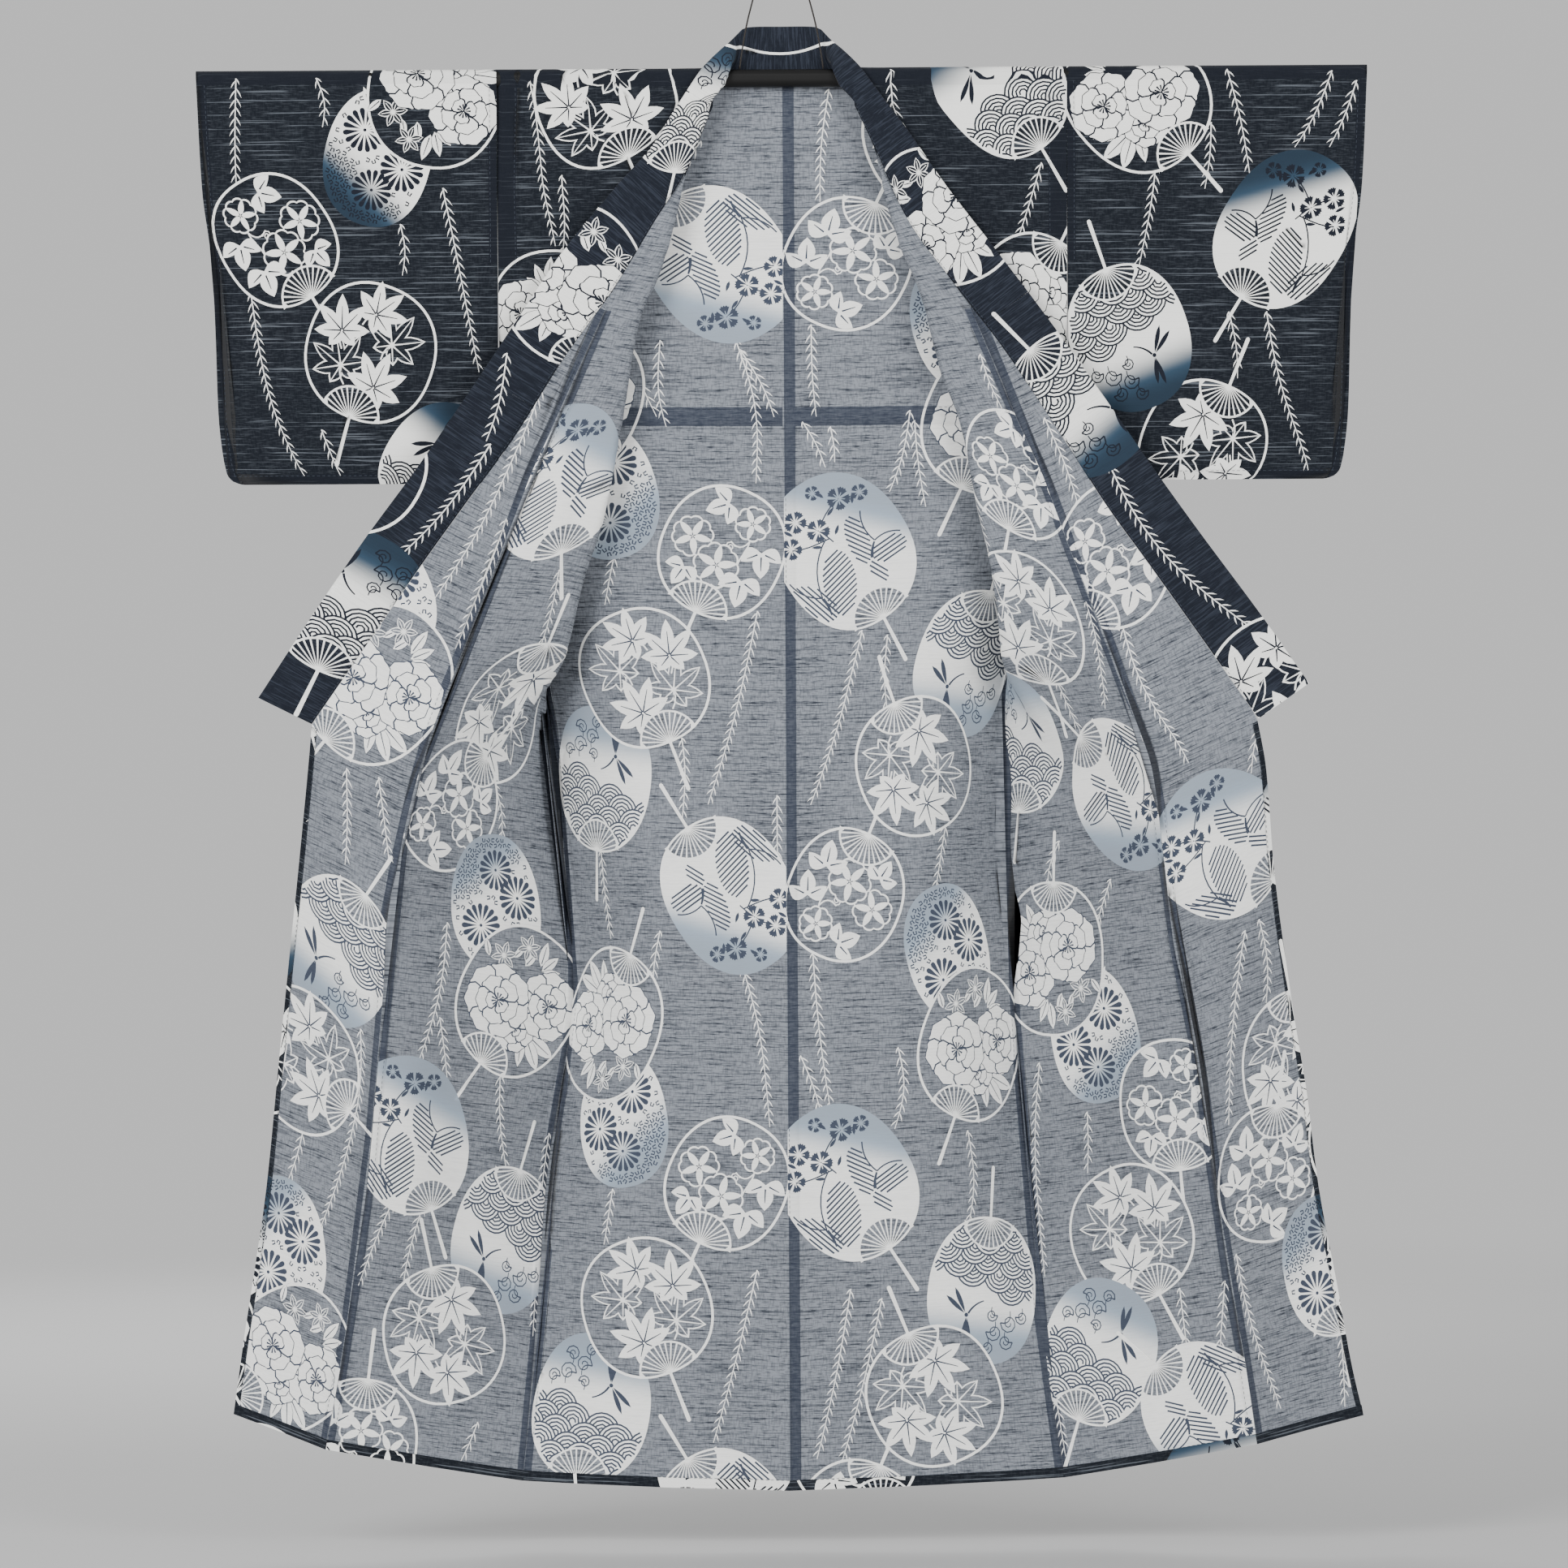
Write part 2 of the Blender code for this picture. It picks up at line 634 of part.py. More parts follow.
def rounded_bar(name, start, end, radius, height, finish):
    """A flattened bar along X with round top and bottom, its top under the shoulder fold."""
    top = -(CLOTH_REST - BAR_RADIUS)
    upper = top - radius
    lower = top - height + radius
    profile = []
    for k in range(13):
        angle = math.pi * k / 12
        profile.append((radius * math.cos(angle), upper + radius * math.sin(angle)))
    for k in range(13):
        angle = math.pi + math.pi * k / 12
        profile.append((radius * math.cos(angle), lower + radius * math.sin(angle)))
    rings = []
    for out in (start, end):
        rings.append([Vector((out * MM, y * MM, (z - SHOULDER_DROP) * MM)) for y, z in profile])
    return tube_of_sections(name, rings, finish)


def make_cord(finish):
    """The hanging cord: from the bar up over the ring's lower wire and down again."""
    bar_top = -(CLOTH_REST - BAR_RADIUS) - SHOULDER_DROP
    saddle = -2 * RING_RADIUS + 2 * RING_WIRE + SEAM_GAP + CORD_DIAMETER / 2 + 0.2
    arch = 6.0
    route = [
        (-CORD_SPREAD, bar_top + SEAM_GAP), (-CORD_SPREAD + 2, bar_top + 16),
        (-43.0, bar_top + 40), (-38.5, bar_top + 62), (-30, bar_top + 92), (-20, bar_top + 132),
        (-13, saddle - 26), (-9, saddle - 10), (-arch, saddle + 2), (0, saddle + 2),
    ]
    route = route + [(-x, z) for x, z in route[-2::-1]]
    line = soft_path([(x, 0, z) for x, z in route], 480)
    ends = np.array([[route[0][0], 0, route[0][1]], [route[-1][0], 0, route[-1][1]]])
    line[0], line[-1] = ends
    points = spaced(line, np.linspace(0, 1, 61))
    lift = saddle - max(p[2] for p in points)
    curve = bpy.data.curves.new("hanger_cord", "CURVE")
    curve.dimensions = "3D"
    spline = curve.splines.new("POLY")
    spline.points.add(len(points) - 1)
    for target, (x, y, z) in zip(spline.points, points):
        high = rise(bar_top + 100, saddle, z)
        target.co = (x * MM, y * MM, (z + lift * high) * MM, 1)
    curve.bevel_depth = CORD_DIAMETER / 2 * MM
    curve.bevel_resolution = 2
    curve.use_fill_caps = True
    curve.materials.append(finish)
    made = bpy.data.objects.new("hanger_cord", curve)
    bpy.context.scene.collection.objects.link(made)
    return made


def make_ring(finish):
    """The ring that the cord goes through, edge on to the front."""
    bpy.ops.mesh.primitive_torus_add(
        major_radius=RING_RADIUS * MM,
        minor_radius=RING_WIRE * MM,
        major_segments=24,
        minor_segments=8,
        location=(0, 0, -(RING_RADIUS - RING_WIRE) * MM),
        rotation=(0, math.pi / 2, 0),
    )
    made = bpy.context.object
    made.name = "hanger_ring"
    made.data.name = "hanger_ring"
    made.data.materials.append(finish)
    made.data.shade_smooth()
    return made


def main():
    for old in list(bpy.data.objects):
        bpy.data.objects.remove(old)
    outer = material("printed_cotton", (0.016, 0.022, 0.036), 0.9)
    collar = material("collar_cotton", (0.014, 0.02, 0.034), 0.9)
    black = material("black_lacquer", (0.01, 0.01, 0.01), 0.25)
    wood = material("arm_wood", (0.42, 0.26, 0.1), 0.5)
    cord = material("black_cord", (0.02, 0.017, 0.014), 0.8)
    steel = material("steel", (0.6, 0.6, 0.6), 0.3, 1.0)
    for side in ("left", "right"):
        make_back(side, outer)
        make_front(side, outer)
        make_overlap(side, outer)
        for leaf in ("front", "back"):
            make_sleeve(side, leaf, outer)
    make_collar(collar)
    rounded_bar("hanger_bar", -BAR_HALF, BAR_HALF, BAR_RADIUS, BAR_HEIGHT, black)
    start = BAR_HALF + SEAM_GAP
    rounded_bar("hanger_arm_left", -ARM_END, -start, ARM_RADIUS, ARM_HEIGHT, wood)
    rounded_bar("hanger_arm_right", start, ARM_END, ARM_RADIUS, ARM_HEIGHT, wood)
    make_cord(cord)
    make_ring(steel)


main()
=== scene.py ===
"""Looks of a cotton yukata that hangs open on a kimono hanger.

Garment tables are in millimetres: a "run" goes along the cloth from the shoulder fold, a "drop"
straight down from it, "out" sideways from the centre back seam and "depth" backwards from the
hanger's bar. "left" and "right" are the viewer's. The cloth's own places are (u, v): u across the
panel and v along it. Places in the camera's view are in its own units, VIEW_WIDTH wide.
"""

from __future__ import annotations

import logging
import math
from collections.abc import Callable, Sequence
from dataclasses import dataclass, field
from enum import Enum

import bmesh
import bpy
import numpy as np
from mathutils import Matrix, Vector, noise
from mathutils.geometry import delaunay_2d_cdt


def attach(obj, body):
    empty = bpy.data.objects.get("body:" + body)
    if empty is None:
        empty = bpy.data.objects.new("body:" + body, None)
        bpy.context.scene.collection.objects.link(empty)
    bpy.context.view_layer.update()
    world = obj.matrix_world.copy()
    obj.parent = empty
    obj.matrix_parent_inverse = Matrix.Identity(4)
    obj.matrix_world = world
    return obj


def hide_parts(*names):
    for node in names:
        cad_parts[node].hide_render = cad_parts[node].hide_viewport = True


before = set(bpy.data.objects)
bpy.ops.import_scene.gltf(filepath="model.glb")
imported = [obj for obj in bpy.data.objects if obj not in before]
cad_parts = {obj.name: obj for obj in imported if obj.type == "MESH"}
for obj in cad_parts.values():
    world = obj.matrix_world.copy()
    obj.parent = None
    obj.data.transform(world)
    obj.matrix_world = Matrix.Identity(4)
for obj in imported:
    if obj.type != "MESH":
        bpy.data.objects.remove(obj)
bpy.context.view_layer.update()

LOG = logging.getLogger("yukata")
MM = 0.001
BODY = "root"

# Camera: its square view's width in its own units, and where the garment stands in it
VIEW_WIDTH = 1932.0
VIEW_UNIT = 0.951  # mm at the hanger's plane
VIEW_CENTRE = 973.0  # centre back seam at the shoulder fold
VIEW_SHOULDER = 84.0
VIEW_ROLL = 0.0058  # radians
CAMERA_DISTANCE = 9.0
CAMERA_SIDE = -0.0018
CAMERA_HEIGHT = -1.0558
SENSOR = 36.0

# Garment
LENGTH = 1668.0
SHOULDER = 334.0
NECK = 86.0
SLEEVE_DROP = 490.0
ARMHOLE = 230.0
SIDE_OPENING_END = 370.0
OVERLAP_TOP = 275.0
COLLAR_END = 853.0
SHOULDER_DROP = 217.0
BAR_RADIUS = 8.0
CLOTH_REST = 9.3
OVER_BAR = 14.0
LEAF_MEET = 0.85
SIDE_END_DROP = 1657.0
OVERLAP_TOP_DROP = 260.0
OVERLAP_END_DROP = 1612.0
COLLAR_END_DROP = 766.0
FOLD_DROP = 0.985
BAND_AT_SHOULDER = -13.6
UNDER_BAND = 4.2
LOOP_CLOSES = 700.0
LOOP_END = 850.0
SEAM_GAP = 0.3
RING_RADIUS = 12.0
RING_WIRE = 1.6
CORD_DIAMETER = 2.0
CORD_SPREAD = 49.0

# Sewing: the tuck band's runs, where long seams end, and how far thread lies off the cloth's middle
TUCK = (397.0, 419.0)
SEAM_END = LENGTH - 14
STRIP_SINK = 0.8
WITHIN = -0.95
IN_HEM = -1.45
OUT = 0.4

# Cut widths of the pieces, as cloth
BACK_WIDTH = 318.0
FRONT_WIDTH = 252.0
OVERLAP_WIDTH = 148.0
SLEEVE_WIDTH = 352.0
COLLAR_WIDTH = 60.0

# Side seam: from the sleeve seam it is drawn in to the waist and falls straight to the hem (drop, out)
SIDE = {
    "left": [
        (0, 334), (370, 332), (450, 328), (550, 319), (650, 302), (720, 288), (787, 274), (909, 264),
        (1055, 252), (1157, 261), (1266, 281), (1347, 290), (1508, 299), (1657, 314),
    ],
    "right": [
        (0, 334), (370, 332), (450, 326), (550, 314), (650, 290), (732, 262), (805, 258), (897, 256),
        (1023, 266), (1201, 276), (1347, 288), (1476, 298), (1651, 323),
    ],
}

# Edge of the fold in each turned-back front, from the collar down to the side seam (drop, out)
FOLD = {
    "left": [
        (0, 80), (60, 92), (117, 110), (152, 118), (201, 129), (248, 144), (301, 167), (415, 187),
        (535, 211), (603, 234), (677, 252), (752, 275),
    ],
    "right": [
        (0, 82), (91, 107), (164, 122), (214, 137), (270, 160), (364, 184), (419, 205), (515, 224),
        (598, 242), (669, 251), (752, 256),
    ],
}

# Seam between front and overlap panel (drop, out)
OVERLAP_SEAM = {
    "left": [
        (260, 198), (359, 238), (478, 296), (571, 329), (657, 364), (752, 403), (837, 431), (928, 452),
        (1005, 466), (1101, 471), (1174, 478), (1309, 491), (1425, 508), (1527, 525), (1611, 541),
    ],
    "right": [
        (260, 205), (294, 226), (398, 266), (490, 306), (592, 342), (681, 378), (758, 405), (825, 427),
        (928, 440), (1026, 451), (1147, 477), (1309, 499), (1396, 511), (1516, 532), (1614, 546),
    ],
}

# Free edge of the overlap panel, below the collar (drop, out)
FREE_EDGE = {
    "left": [
        (766, 551), (824, 557), (928, 569), (1060, 585), (1167, 597), (1309, 612), (1403, 626), (1484, 639),
        (1575, 652),
    ],
    "right": [
        (768, 550), (822, 560), (928, 569), (1103, 593), (1201, 609), (1309, 622), (1431, 644), (1527, 661),
        (1584, 674),
    ],
}

# Collar down each front: (out, drop) of its seam, then of its free edge
COLLAR = {
    "left": [
        (79, 42, 108, 23), (95, 80, 130, 57), (110, 117, 151, 91), (149, 180, 192, 137),
        (198, 260, 260, 220), (257, 342, 316, 304), (315, 434, 377, 395), (371, 510, 429, 470),
        (426, 586, 486, 547), (489, 677, 549, 638), (551, 766, 613, 735),
    ],
    "right": [
        (84, 42, 109, 24), (107, 91, 141, 66), (146, 179, 193, 142), (200, 255, 249, 216),
        (256, 330, 307, 294), (319, 426, 373, 388), (377, 518, 435, 479), (424, 584, 481, 544),
        (501, 694, 559, 651), (551, 766, 610, 725),
    ],
}
COVER_ENDS = {"left": 400.0, "right": 305.0}  # drop of the collar seam at which the cover ends

# Collar round the neck, from the centre back to the front: its seam, crease and free edge, each as
# (out, depth, height above the shoulder)
NECK_ROLLS = [
    ((0, 10.4, -7), (0, 12, 21), (0, 15, 50)), ((38, 10.4, -7), (35, 12, 21), (32, 15, 50)),
    ((60, 10.2, -6), (51, 11, 17), (46, 13, 47)), ((74, 7, 1), (56, 4, 10), (58, 8, 34)),
    ((81, -1, 5), (59, -8, 6), (70, -2, 23)), ((84, -12, -4), (63, -15, -9), (84, -11, 9)),
    ((83, -15.5, -20), (71, -18, -23), (96, -16, -5)),
]

# Depth of each line, the same on both sides (run, depth)
BACK_DEPTH = [(14, 9.0), (60, 10.5), (200, 13), (700, 14), (LENGTH, 10)]
SIDE_DEPTH = [
    (14, 8.9), (230, 8.0), (370, 9), (450, 26), (600, 62), (750, 97), (900, 115), (1050, 121), (1200, 116),
    (1350, 98), (1500, 74), (1600, 54), (LENGTH, 42),
]
FRONT_EDGE_DEPTH = [(14, -8.9), (230, -8.0), (300, -5), (370, 7.7)]
FOLD_DEPTH = [
    (0, -13), (117, -15), (275, -19), (450, -19), (600, -12), (700, 8), (760, 40), (850, 62),
]
OVERLAP_DEPTH = [
    (275, -27), (450, -35), (600, -43), (740, -52), (850, -58), (1000, -57), (1200, -52), (1400, -47),
    (LENGTH, -40),
]
COLLAR_DEPTH = [
    (42, -17), (117, -19), (180, -22), (260, -28), (342, -34), (434, -40), (586, -48), (766, -57),
]
EDGE_DEPTH = [
    (853, -57), (900, -48), (1000, -25), (1100, -5), (1250, 14), (1450, 22), (LENGTH, 20),
]
FOLD_ROUND = [(0, 1.0), (117, 2.0), (200, 5.0), (450, 8.0), (700, 9.0)]

# Sleeve: its outer edge (drop, out), and how far each leaf stands from the bar's middle plane
SLEEVE_EDGE = [
    (0, 686), (140, 679), (220, 669), (300, 665), (400, 662), (456, 656), (480, 649), (490, 634),
]
SLEEVE_DEPTH = [
    (14, 8.9), (230, 8.0), (350, 7.6), (430, 6.0), (470, 3.0), (SLEEVE_DROP, LEAF_MEET),
]

# Soft flutes that run down the back panels: (out, half their width, the run they start at, depth)
BACK_FLUTES = [
    (60, 40, 560, 5.0), (135, 45, 700, -7.0), (205, 35, 900, 6.0),
]


Array = np.ndarray
Finish = bpy.types.Material
Piece = bpy.types.Object
Point2 = tuple[float, float]
Socket = bpy.types.NodeSocket


class Side(Enum):
    """The viewer's side that a piece is on."""

    LEFT = "left"
    RIGHT = "right"

    @property
    def sign(self) -> float:
        """-1 on the left, 1 on the right."""
        return -1.0 if self is Side.LEFT else 1.0


class Ink(Enum):
    """What a printed place shows."""

    BARE = 0
    WHITE = 1
    FADE = 2
    DARK = 3


def rise(low: float, high: float, at: float) -> float:
    """0 below low, 1 above high, smooth between."""
    t = min(max((at - low) / (high - low), 0.0), 1.0)
    return t * t * (3 - 2 * t)


def rises(low: float, high: float, at: Array) -> Array:
    """rise() of a whole array."""
    t = np.clip((at - low) / (high - low), 0.0, 1.0)
    return t * t * (3 - 2 * t)


def smooth(table: Sequence[tuple], at: float, value: int = 1, key: int = 0) -> float:
    """Column value of a table at a place in column key, on a curve that never overshoots.

    Args:
        table: rows of numbers, rising in column key.
        at: the place to read.
        value: the column read.
        key: the column that holds the places.

    Returns:
        The number there.
    """
    xs = [row[key] for row in table]
    ys = [row[value] for row in table]
    if at <= xs[0]:
        return ys[0]
    if at >= xs[-1]:
        return ys[-1]
    slopes = [(ys[i + 1] - ys[i]) / (xs[i + 1] - xs[i]) for i in range(len(xs) - 1)]
    tangents = [slopes[0]]
    for before, after in zip(slopes, slopes[1:]):
        same_way = before * after > 0
        tangents.append(2 * before * after / (before + after) if same_way else 0.0)
    tangents.append(slopes[-1])
    i = max(k for k in range(len(xs) - 1) if xs[k] <= at)
    width = xs[i + 1] - xs[i]
    t = (at - xs[i]) / width
    start = (1 + 2 * t) * (1 - t) ** 2 * ys[i] + t * (1 - t) ** 2 * width * tangents[i]
    end = t * t * (3 - 2 * t) * ys[i + 1] + t * t * (t - 1) * width * tangents[i + 1]
    return start + end


def soft_path(corners: Sequence[Sequence[float]], samples: int = 160) -> Array:
    """Points on a cubic B-spline that starts and ends at the first and last corner.

    Args:
        corners: the spline's corners.
        samples: about how many points to give.

    Returns:
        One row for each point.
    """
    given = np.array(corners, float)
    hull = np.vstack([2 * given[0] - given[1], given, 2 * given[-1] - given[-2]])
    spans = len(hull) - 3
    parts = []
    for i in range(spans):
        t = np.linspace(0, 1, samples // spans, endpoint=i == spans - 1)[:, None]
        parts.append(
            (1 - t) ** 3 / 6 * hull[i]
            + (3 * t**3 - 6 * t**2 + 4) / 6 * hull[i + 1]
            + (-3 * t**3 + 3 * t**2 + 3 * t + 1) / 6 * hull[i + 2]
            + t**3 / 6 * hull[i + 3]
        )
    return np.vstack(parts)


def spaced(points: Array, fractions: Array) -> Array:
    """Points at these fractions of a path's length."""
    steps = np.linalg.norm(np.diff(points, axis=0), axis=1)
    run = np.concatenate([[0.0], np.cumsum(steps)])
    at = fractions * run[-1]
    return np.stack([np.interp(at, run, points[:, k]) for k in range(points.shape[1])], axis=1)


def over_bar(run: float, depth: float) -> tuple[float, float]:
    """(depth, height) of cloth at a run, over the bar's round top and then down at its depth."""
    quarter = CLOTH_REST * math.pi / 2
    sign = math.copysign(1.0, depth)
    if run < quarter:
        angle = run / CLOTH_REST
        return sign * CLOTH_REST * math.sin(angle), CLOTH_REST * (math.cos(angle) - 1)
    return depth, -CLOTH_REST - (run - quarter)


def between(stations: list[Array], steps: int) -> list[Array]:
    """Stations with smooth ones set between them, on a Catmull-Rom curve."""
    ends = [stations[0], *stations, stations[-1]]
    filled = []
    for a, b, c, d in zip(ends, ends[1:], ends[2:], ends[3:]):
        for k in range(steps):
            t = k / steps
            cubic = (3 * b - a - 3 * c + d) * t**3
            filled.append(0.5 * (2 * b + (c - a) * t + (2 * a - 5 * b + 4 * c - d) * t * t + cubic))
    filled.append(stations[-1])
    return filled


@dataclass(frozen=True)
class HungHalf:
    """How one half of the garment hangs: its seams and rows as (out, depth, height)."""

    side: Side

    def side_seam(self, run: float) -> Array:
        """The side seam at a run."""
        depth, height = over_bar(run, smooth(SIDE_DEPTH, run))
        if run > OVER_BAR:
            height = -run * SIDE_END_DROP / LENGTH
        return np.array([smooth(SIDE[self.side.value], -height), depth, height])

    def collar_seam(self, run: float) -> Array:
        """The collar's seam at a run."""
        if run < OVERLAP_TOP:
            drop = run * OVERLAP_TOP_DROP / OVERLAP_TOP
        else:
            share = (run - OVERLAP_TOP) / (COLLAR_END - OVERLAP_TOP)
            drop = OVERLAP_TOP_DROP + share * (COLLAR_END_DROP - OVERLAP_TOP_DROP)
        table = COLLAR[self.side.value]
        first_out, first_drop = table[0][:2]
        if drop < first_drop:
            part = drop / first_drop
            depth = BAND_AT_SHOULDER + (COLLAR_DEPTH[0][1] - BAND_AT_SHOULDER) * part
            return np.array([NECK + (first_out - NECK) * part, depth, -drop])
        return np.array([smooth(table, drop, value=0, key=1), smooth(COLLAR_DEPTH, drop), -drop])

    def overlap_seam(self, run: float) -> Array:
        """The seam between front and overlap panel, or the collar's seam above it."""
        if run < OVERLAP_TOP:
            return self.collar_seam(run)
        share = (run - OVERLAP_TOP) / (LENGTH - OVERLAP_TOP)
        drop = OVERLAP_TOP_DROP + share * (OVERLAP_END_DROP - OVERLAP_TOP_DROP)
        table = OVERLAP_SEAM[self.side.value]
        onto_collar = self.collar_seam(OVERLAP_TOP)[0] - table[0][1]
        out = smooth(table, drop) + onto_collar * (1 - rise(OVERLAP_TOP, OVERLAP_TOP + 60, run))
        return np.array([out, smooth(OVERLAP_DEPTH, run), -drop])

    def free_edge(self, run: float) -> Array:
        """The overlap panel's outer line: the collar's seam, and below it the free edge."""
        if run < COLLAR_END:
            return self.collar_seam(run)
        table = FREE_EDGE[self.side.value]
        share = (run - COLLAR_END) / (LENGTH - COLLAR_END)
        drop = COLLAR_END_DROP + share * (table[-1][0] - COLLAR_END_DROP)
        return np.array([smooth(table, drop), smooth(EDGE_DEPTH, run), -drop])

    def back_line(self, run: float) -> Array:
        """The back panel at a run, from the centre back seam to the side seam."""
        edge = self.side_seam(run)
        middle = smooth(BACK_DEPTH, run)
        bend = edge[1] - middle
        corners = []
        for part, share in ((0, 0), (0.22, 0), (0.44, 0.0), (0.62, 0.07), (0.8, 0.36), (1, 1)):
            out = part * edge[0]
            depth = middle + share * bend
            for middle_out, half_width, top, deep in BACK_FLUTES:
                across = max(0.0, 1 - abs(out - middle_out) / half_width)
                depth += deep * across * rise(top, top + 300, run)
            corners.append((out, depth, -run + (edge[2] + run) * part))
        path = soft_path(corners, 240)
        if run < OVER_BAR:
            path[:, 1], path[:, 2] = over_bar(run, CLOTH_REST)
        return path

    def front_line(self, run: float) -> Array:
        """The front panel at a run: in from the side, round its fold and out to its seam."""
        end = self.overlap_seam(run)
        end[1] += UNDER_BAND * (1 - rise(125, 190, run))
        start = self.side_seam(run)
        if run < SIDE_OPENING_END:
            start[1] = smooth(FRONT_EDGE_DEPTH, run)
        else:
            start += (0.1, -0.6, 0)
        fold_out = smooth(FOLD[self.side.value], run * FOLD_DROP)
        fold_depth = smooth(FOLD_DEPTH, run)
        half = smooth(FOLD_ROUND, run)
        swing = rise(LOOP_CLOSES, LOOP_END, run)
        reach = min(18.0, max(1.0, (end[0] - fold_out) * 0.5))
        turns = (
            (fold_out + (start[0] - fold_out) * 0.5, (fold_depth + half + start[1]) / 2, 0.15),
            (fold_out + 16, fold_depth + half, 0.3),
            (fold_out, fold_depth + half * 0.8, 0.42),
            (fold_out, fold_depth - half * 0.8, 0.54),
            (fold_out + reach, fold_depth - half, 0.7),
            (fold_out + (end[0] - fold_out) * 0.6, (fold_depth - half) * 0.4 + end[1] * 0.6, 0.85),
        )
        corners = [start]
        for out, depth, share in turns:
            folded = np.array([out, depth, start[2] + (end[2] - start[2]) * share])
            straight = start + (end - start) * share
            straight[1] -= 10 * math.sin(math.pi * share) * rise(900, 1200, run)
            corners.append(folded * (1 - swing) + straight * swing)
        path = soft_path([*corners, end], 300)
        if run < OVER_BAR:
            path[:, 1], path[:, 2] = over_bar(run, -CLOTH_REST)
        return path

    def overlap_line(self, run: float) -> Array:
        """The overlap panel at a run, from the front's seam to the collar or free edge."""
        start = self.overlap_seam(run)
        end = self.free_edge(run)
        corners = [start]
        for share in (0.3, 0.65):
            point = start + (end - start) * share
            point[1] += 5 * math.sin(math.pi * share) * rise(1000, 1300, run)
            corners.append(point)
        return soft_path([*corners, end], 120)

    def sleeve_line(self, run: float, leaf: float) -> Array:
        """A sleeve leaf at a run, from the sleeve seam to its outer edge; leaf is -1 in front."""
        depth, height = over_bar(run, leaf * smooth(SLEEVE_DEPTH, run))
        edge = smooth(SLEEVE_EDGE, -height)
        path = []
        for part in np.linspace(0, 1, 60):
            closed = rise(ARMHOLE, ARMHOLE + 40, run) * rise(0.86, 1.0, part)
            here = depth + (leaf * LEAF_MEET - depth) * closed
            path.append((SHOULDER + (edge - SHOULDER) * part, here, height))
        return np.array(path)

    def band(self, run: float) -> Array:
        """The collar's seam, crease and free points on the front, at the cloth's own run."""
        seam = self.collar_seam(run)
        drop = -seam[2]
        free_depth = seam[1] - 1.5 - 3.0 * rise(60, 400, drop)
        table = COLLAR[self.side.value]
        free = [smooth(table, drop, value=2, key=1), free_depth, -smooth(table, drop, value=3, key=1)]
        crease = (seam + np.array(free)) / 2 + np.array([0, -1.5, 0])
        return np.array([seam, crease, free])

    def placed(self, points: Array) -> Array:
        """(out, depth, height) points of this half, in metres."""
        turned = np.array(points, float)
        turned[..., 0] *= self.side.sign
        turned[..., 2] -= SHOULDER_DROP
        return turned * MM


def view_spot(x: float, y: float) -> Point2:
    """A place in the camera's view as (across, height) in metres at the hanger's plane."""
    right = x - VIEW_CENTRE
    down = y - VIEW_SHOULDER
    across = (right + VIEW_ROLL * down) * VIEW_UNIT
    drop = (down - VIEW_ROLL * right) * VIEW_UNIT
    return across * MM, -(drop + SHOULDER_DROP) * MM


@dataclass
class Drape:
    """The small unevenness of hung cloth: one field for all layers, so that they stay apart."""

    creases: Sequence[tuple[float, ...]]
    swell: float = 2.2  # mm
    ripple: float = 0.7

    def depth_at(self, x: float, z: float) -> float:
        """How far the cloth at (x, z) lies back from its plain line, in metres."""
        drop = -z / MM - SHOULDER_DROP
        free = rise(25, 160, drop)
        if free == 0.0:
            return 0.0
        wide = noise.noise(Vector((x * 4.2, 3.7, z * 2.1)))
        fine = noise.noise(Vector((x * 17.0, 8.1, z * 6.5)))
        moved = self.swell * wide * (0.45 + 0.55 * rise(300, 1200, drop)) + self.ripple * fine
        for crease in self.creases:
            moved += self._pressed(crease, x / MM, drop)
        return moved * free * MM

    @staticmethod
    def _pressed(crease: tuple[float, ...], x: float, drop: float) -> float:
        """One crease's part of the depth, in mm."""
        sx, sy, ex, ey, width, depth = crease
        along = ((x - sx) * (ex - sx) + (drop - sy) * (ey - sy)) / ((ex - sx) ** 2 + (ey - sy) ** 2)
        if not 0 < along < 1:
            return 0.0
        across = math.hypot(x - sx - along * (ex - sx), drop - sy - along * (ey - sy))
        if across > 3 * width:
            return 0.0
        return depth * math.sin(math.pi * along) * math.exp(-((across / width) ** 2))


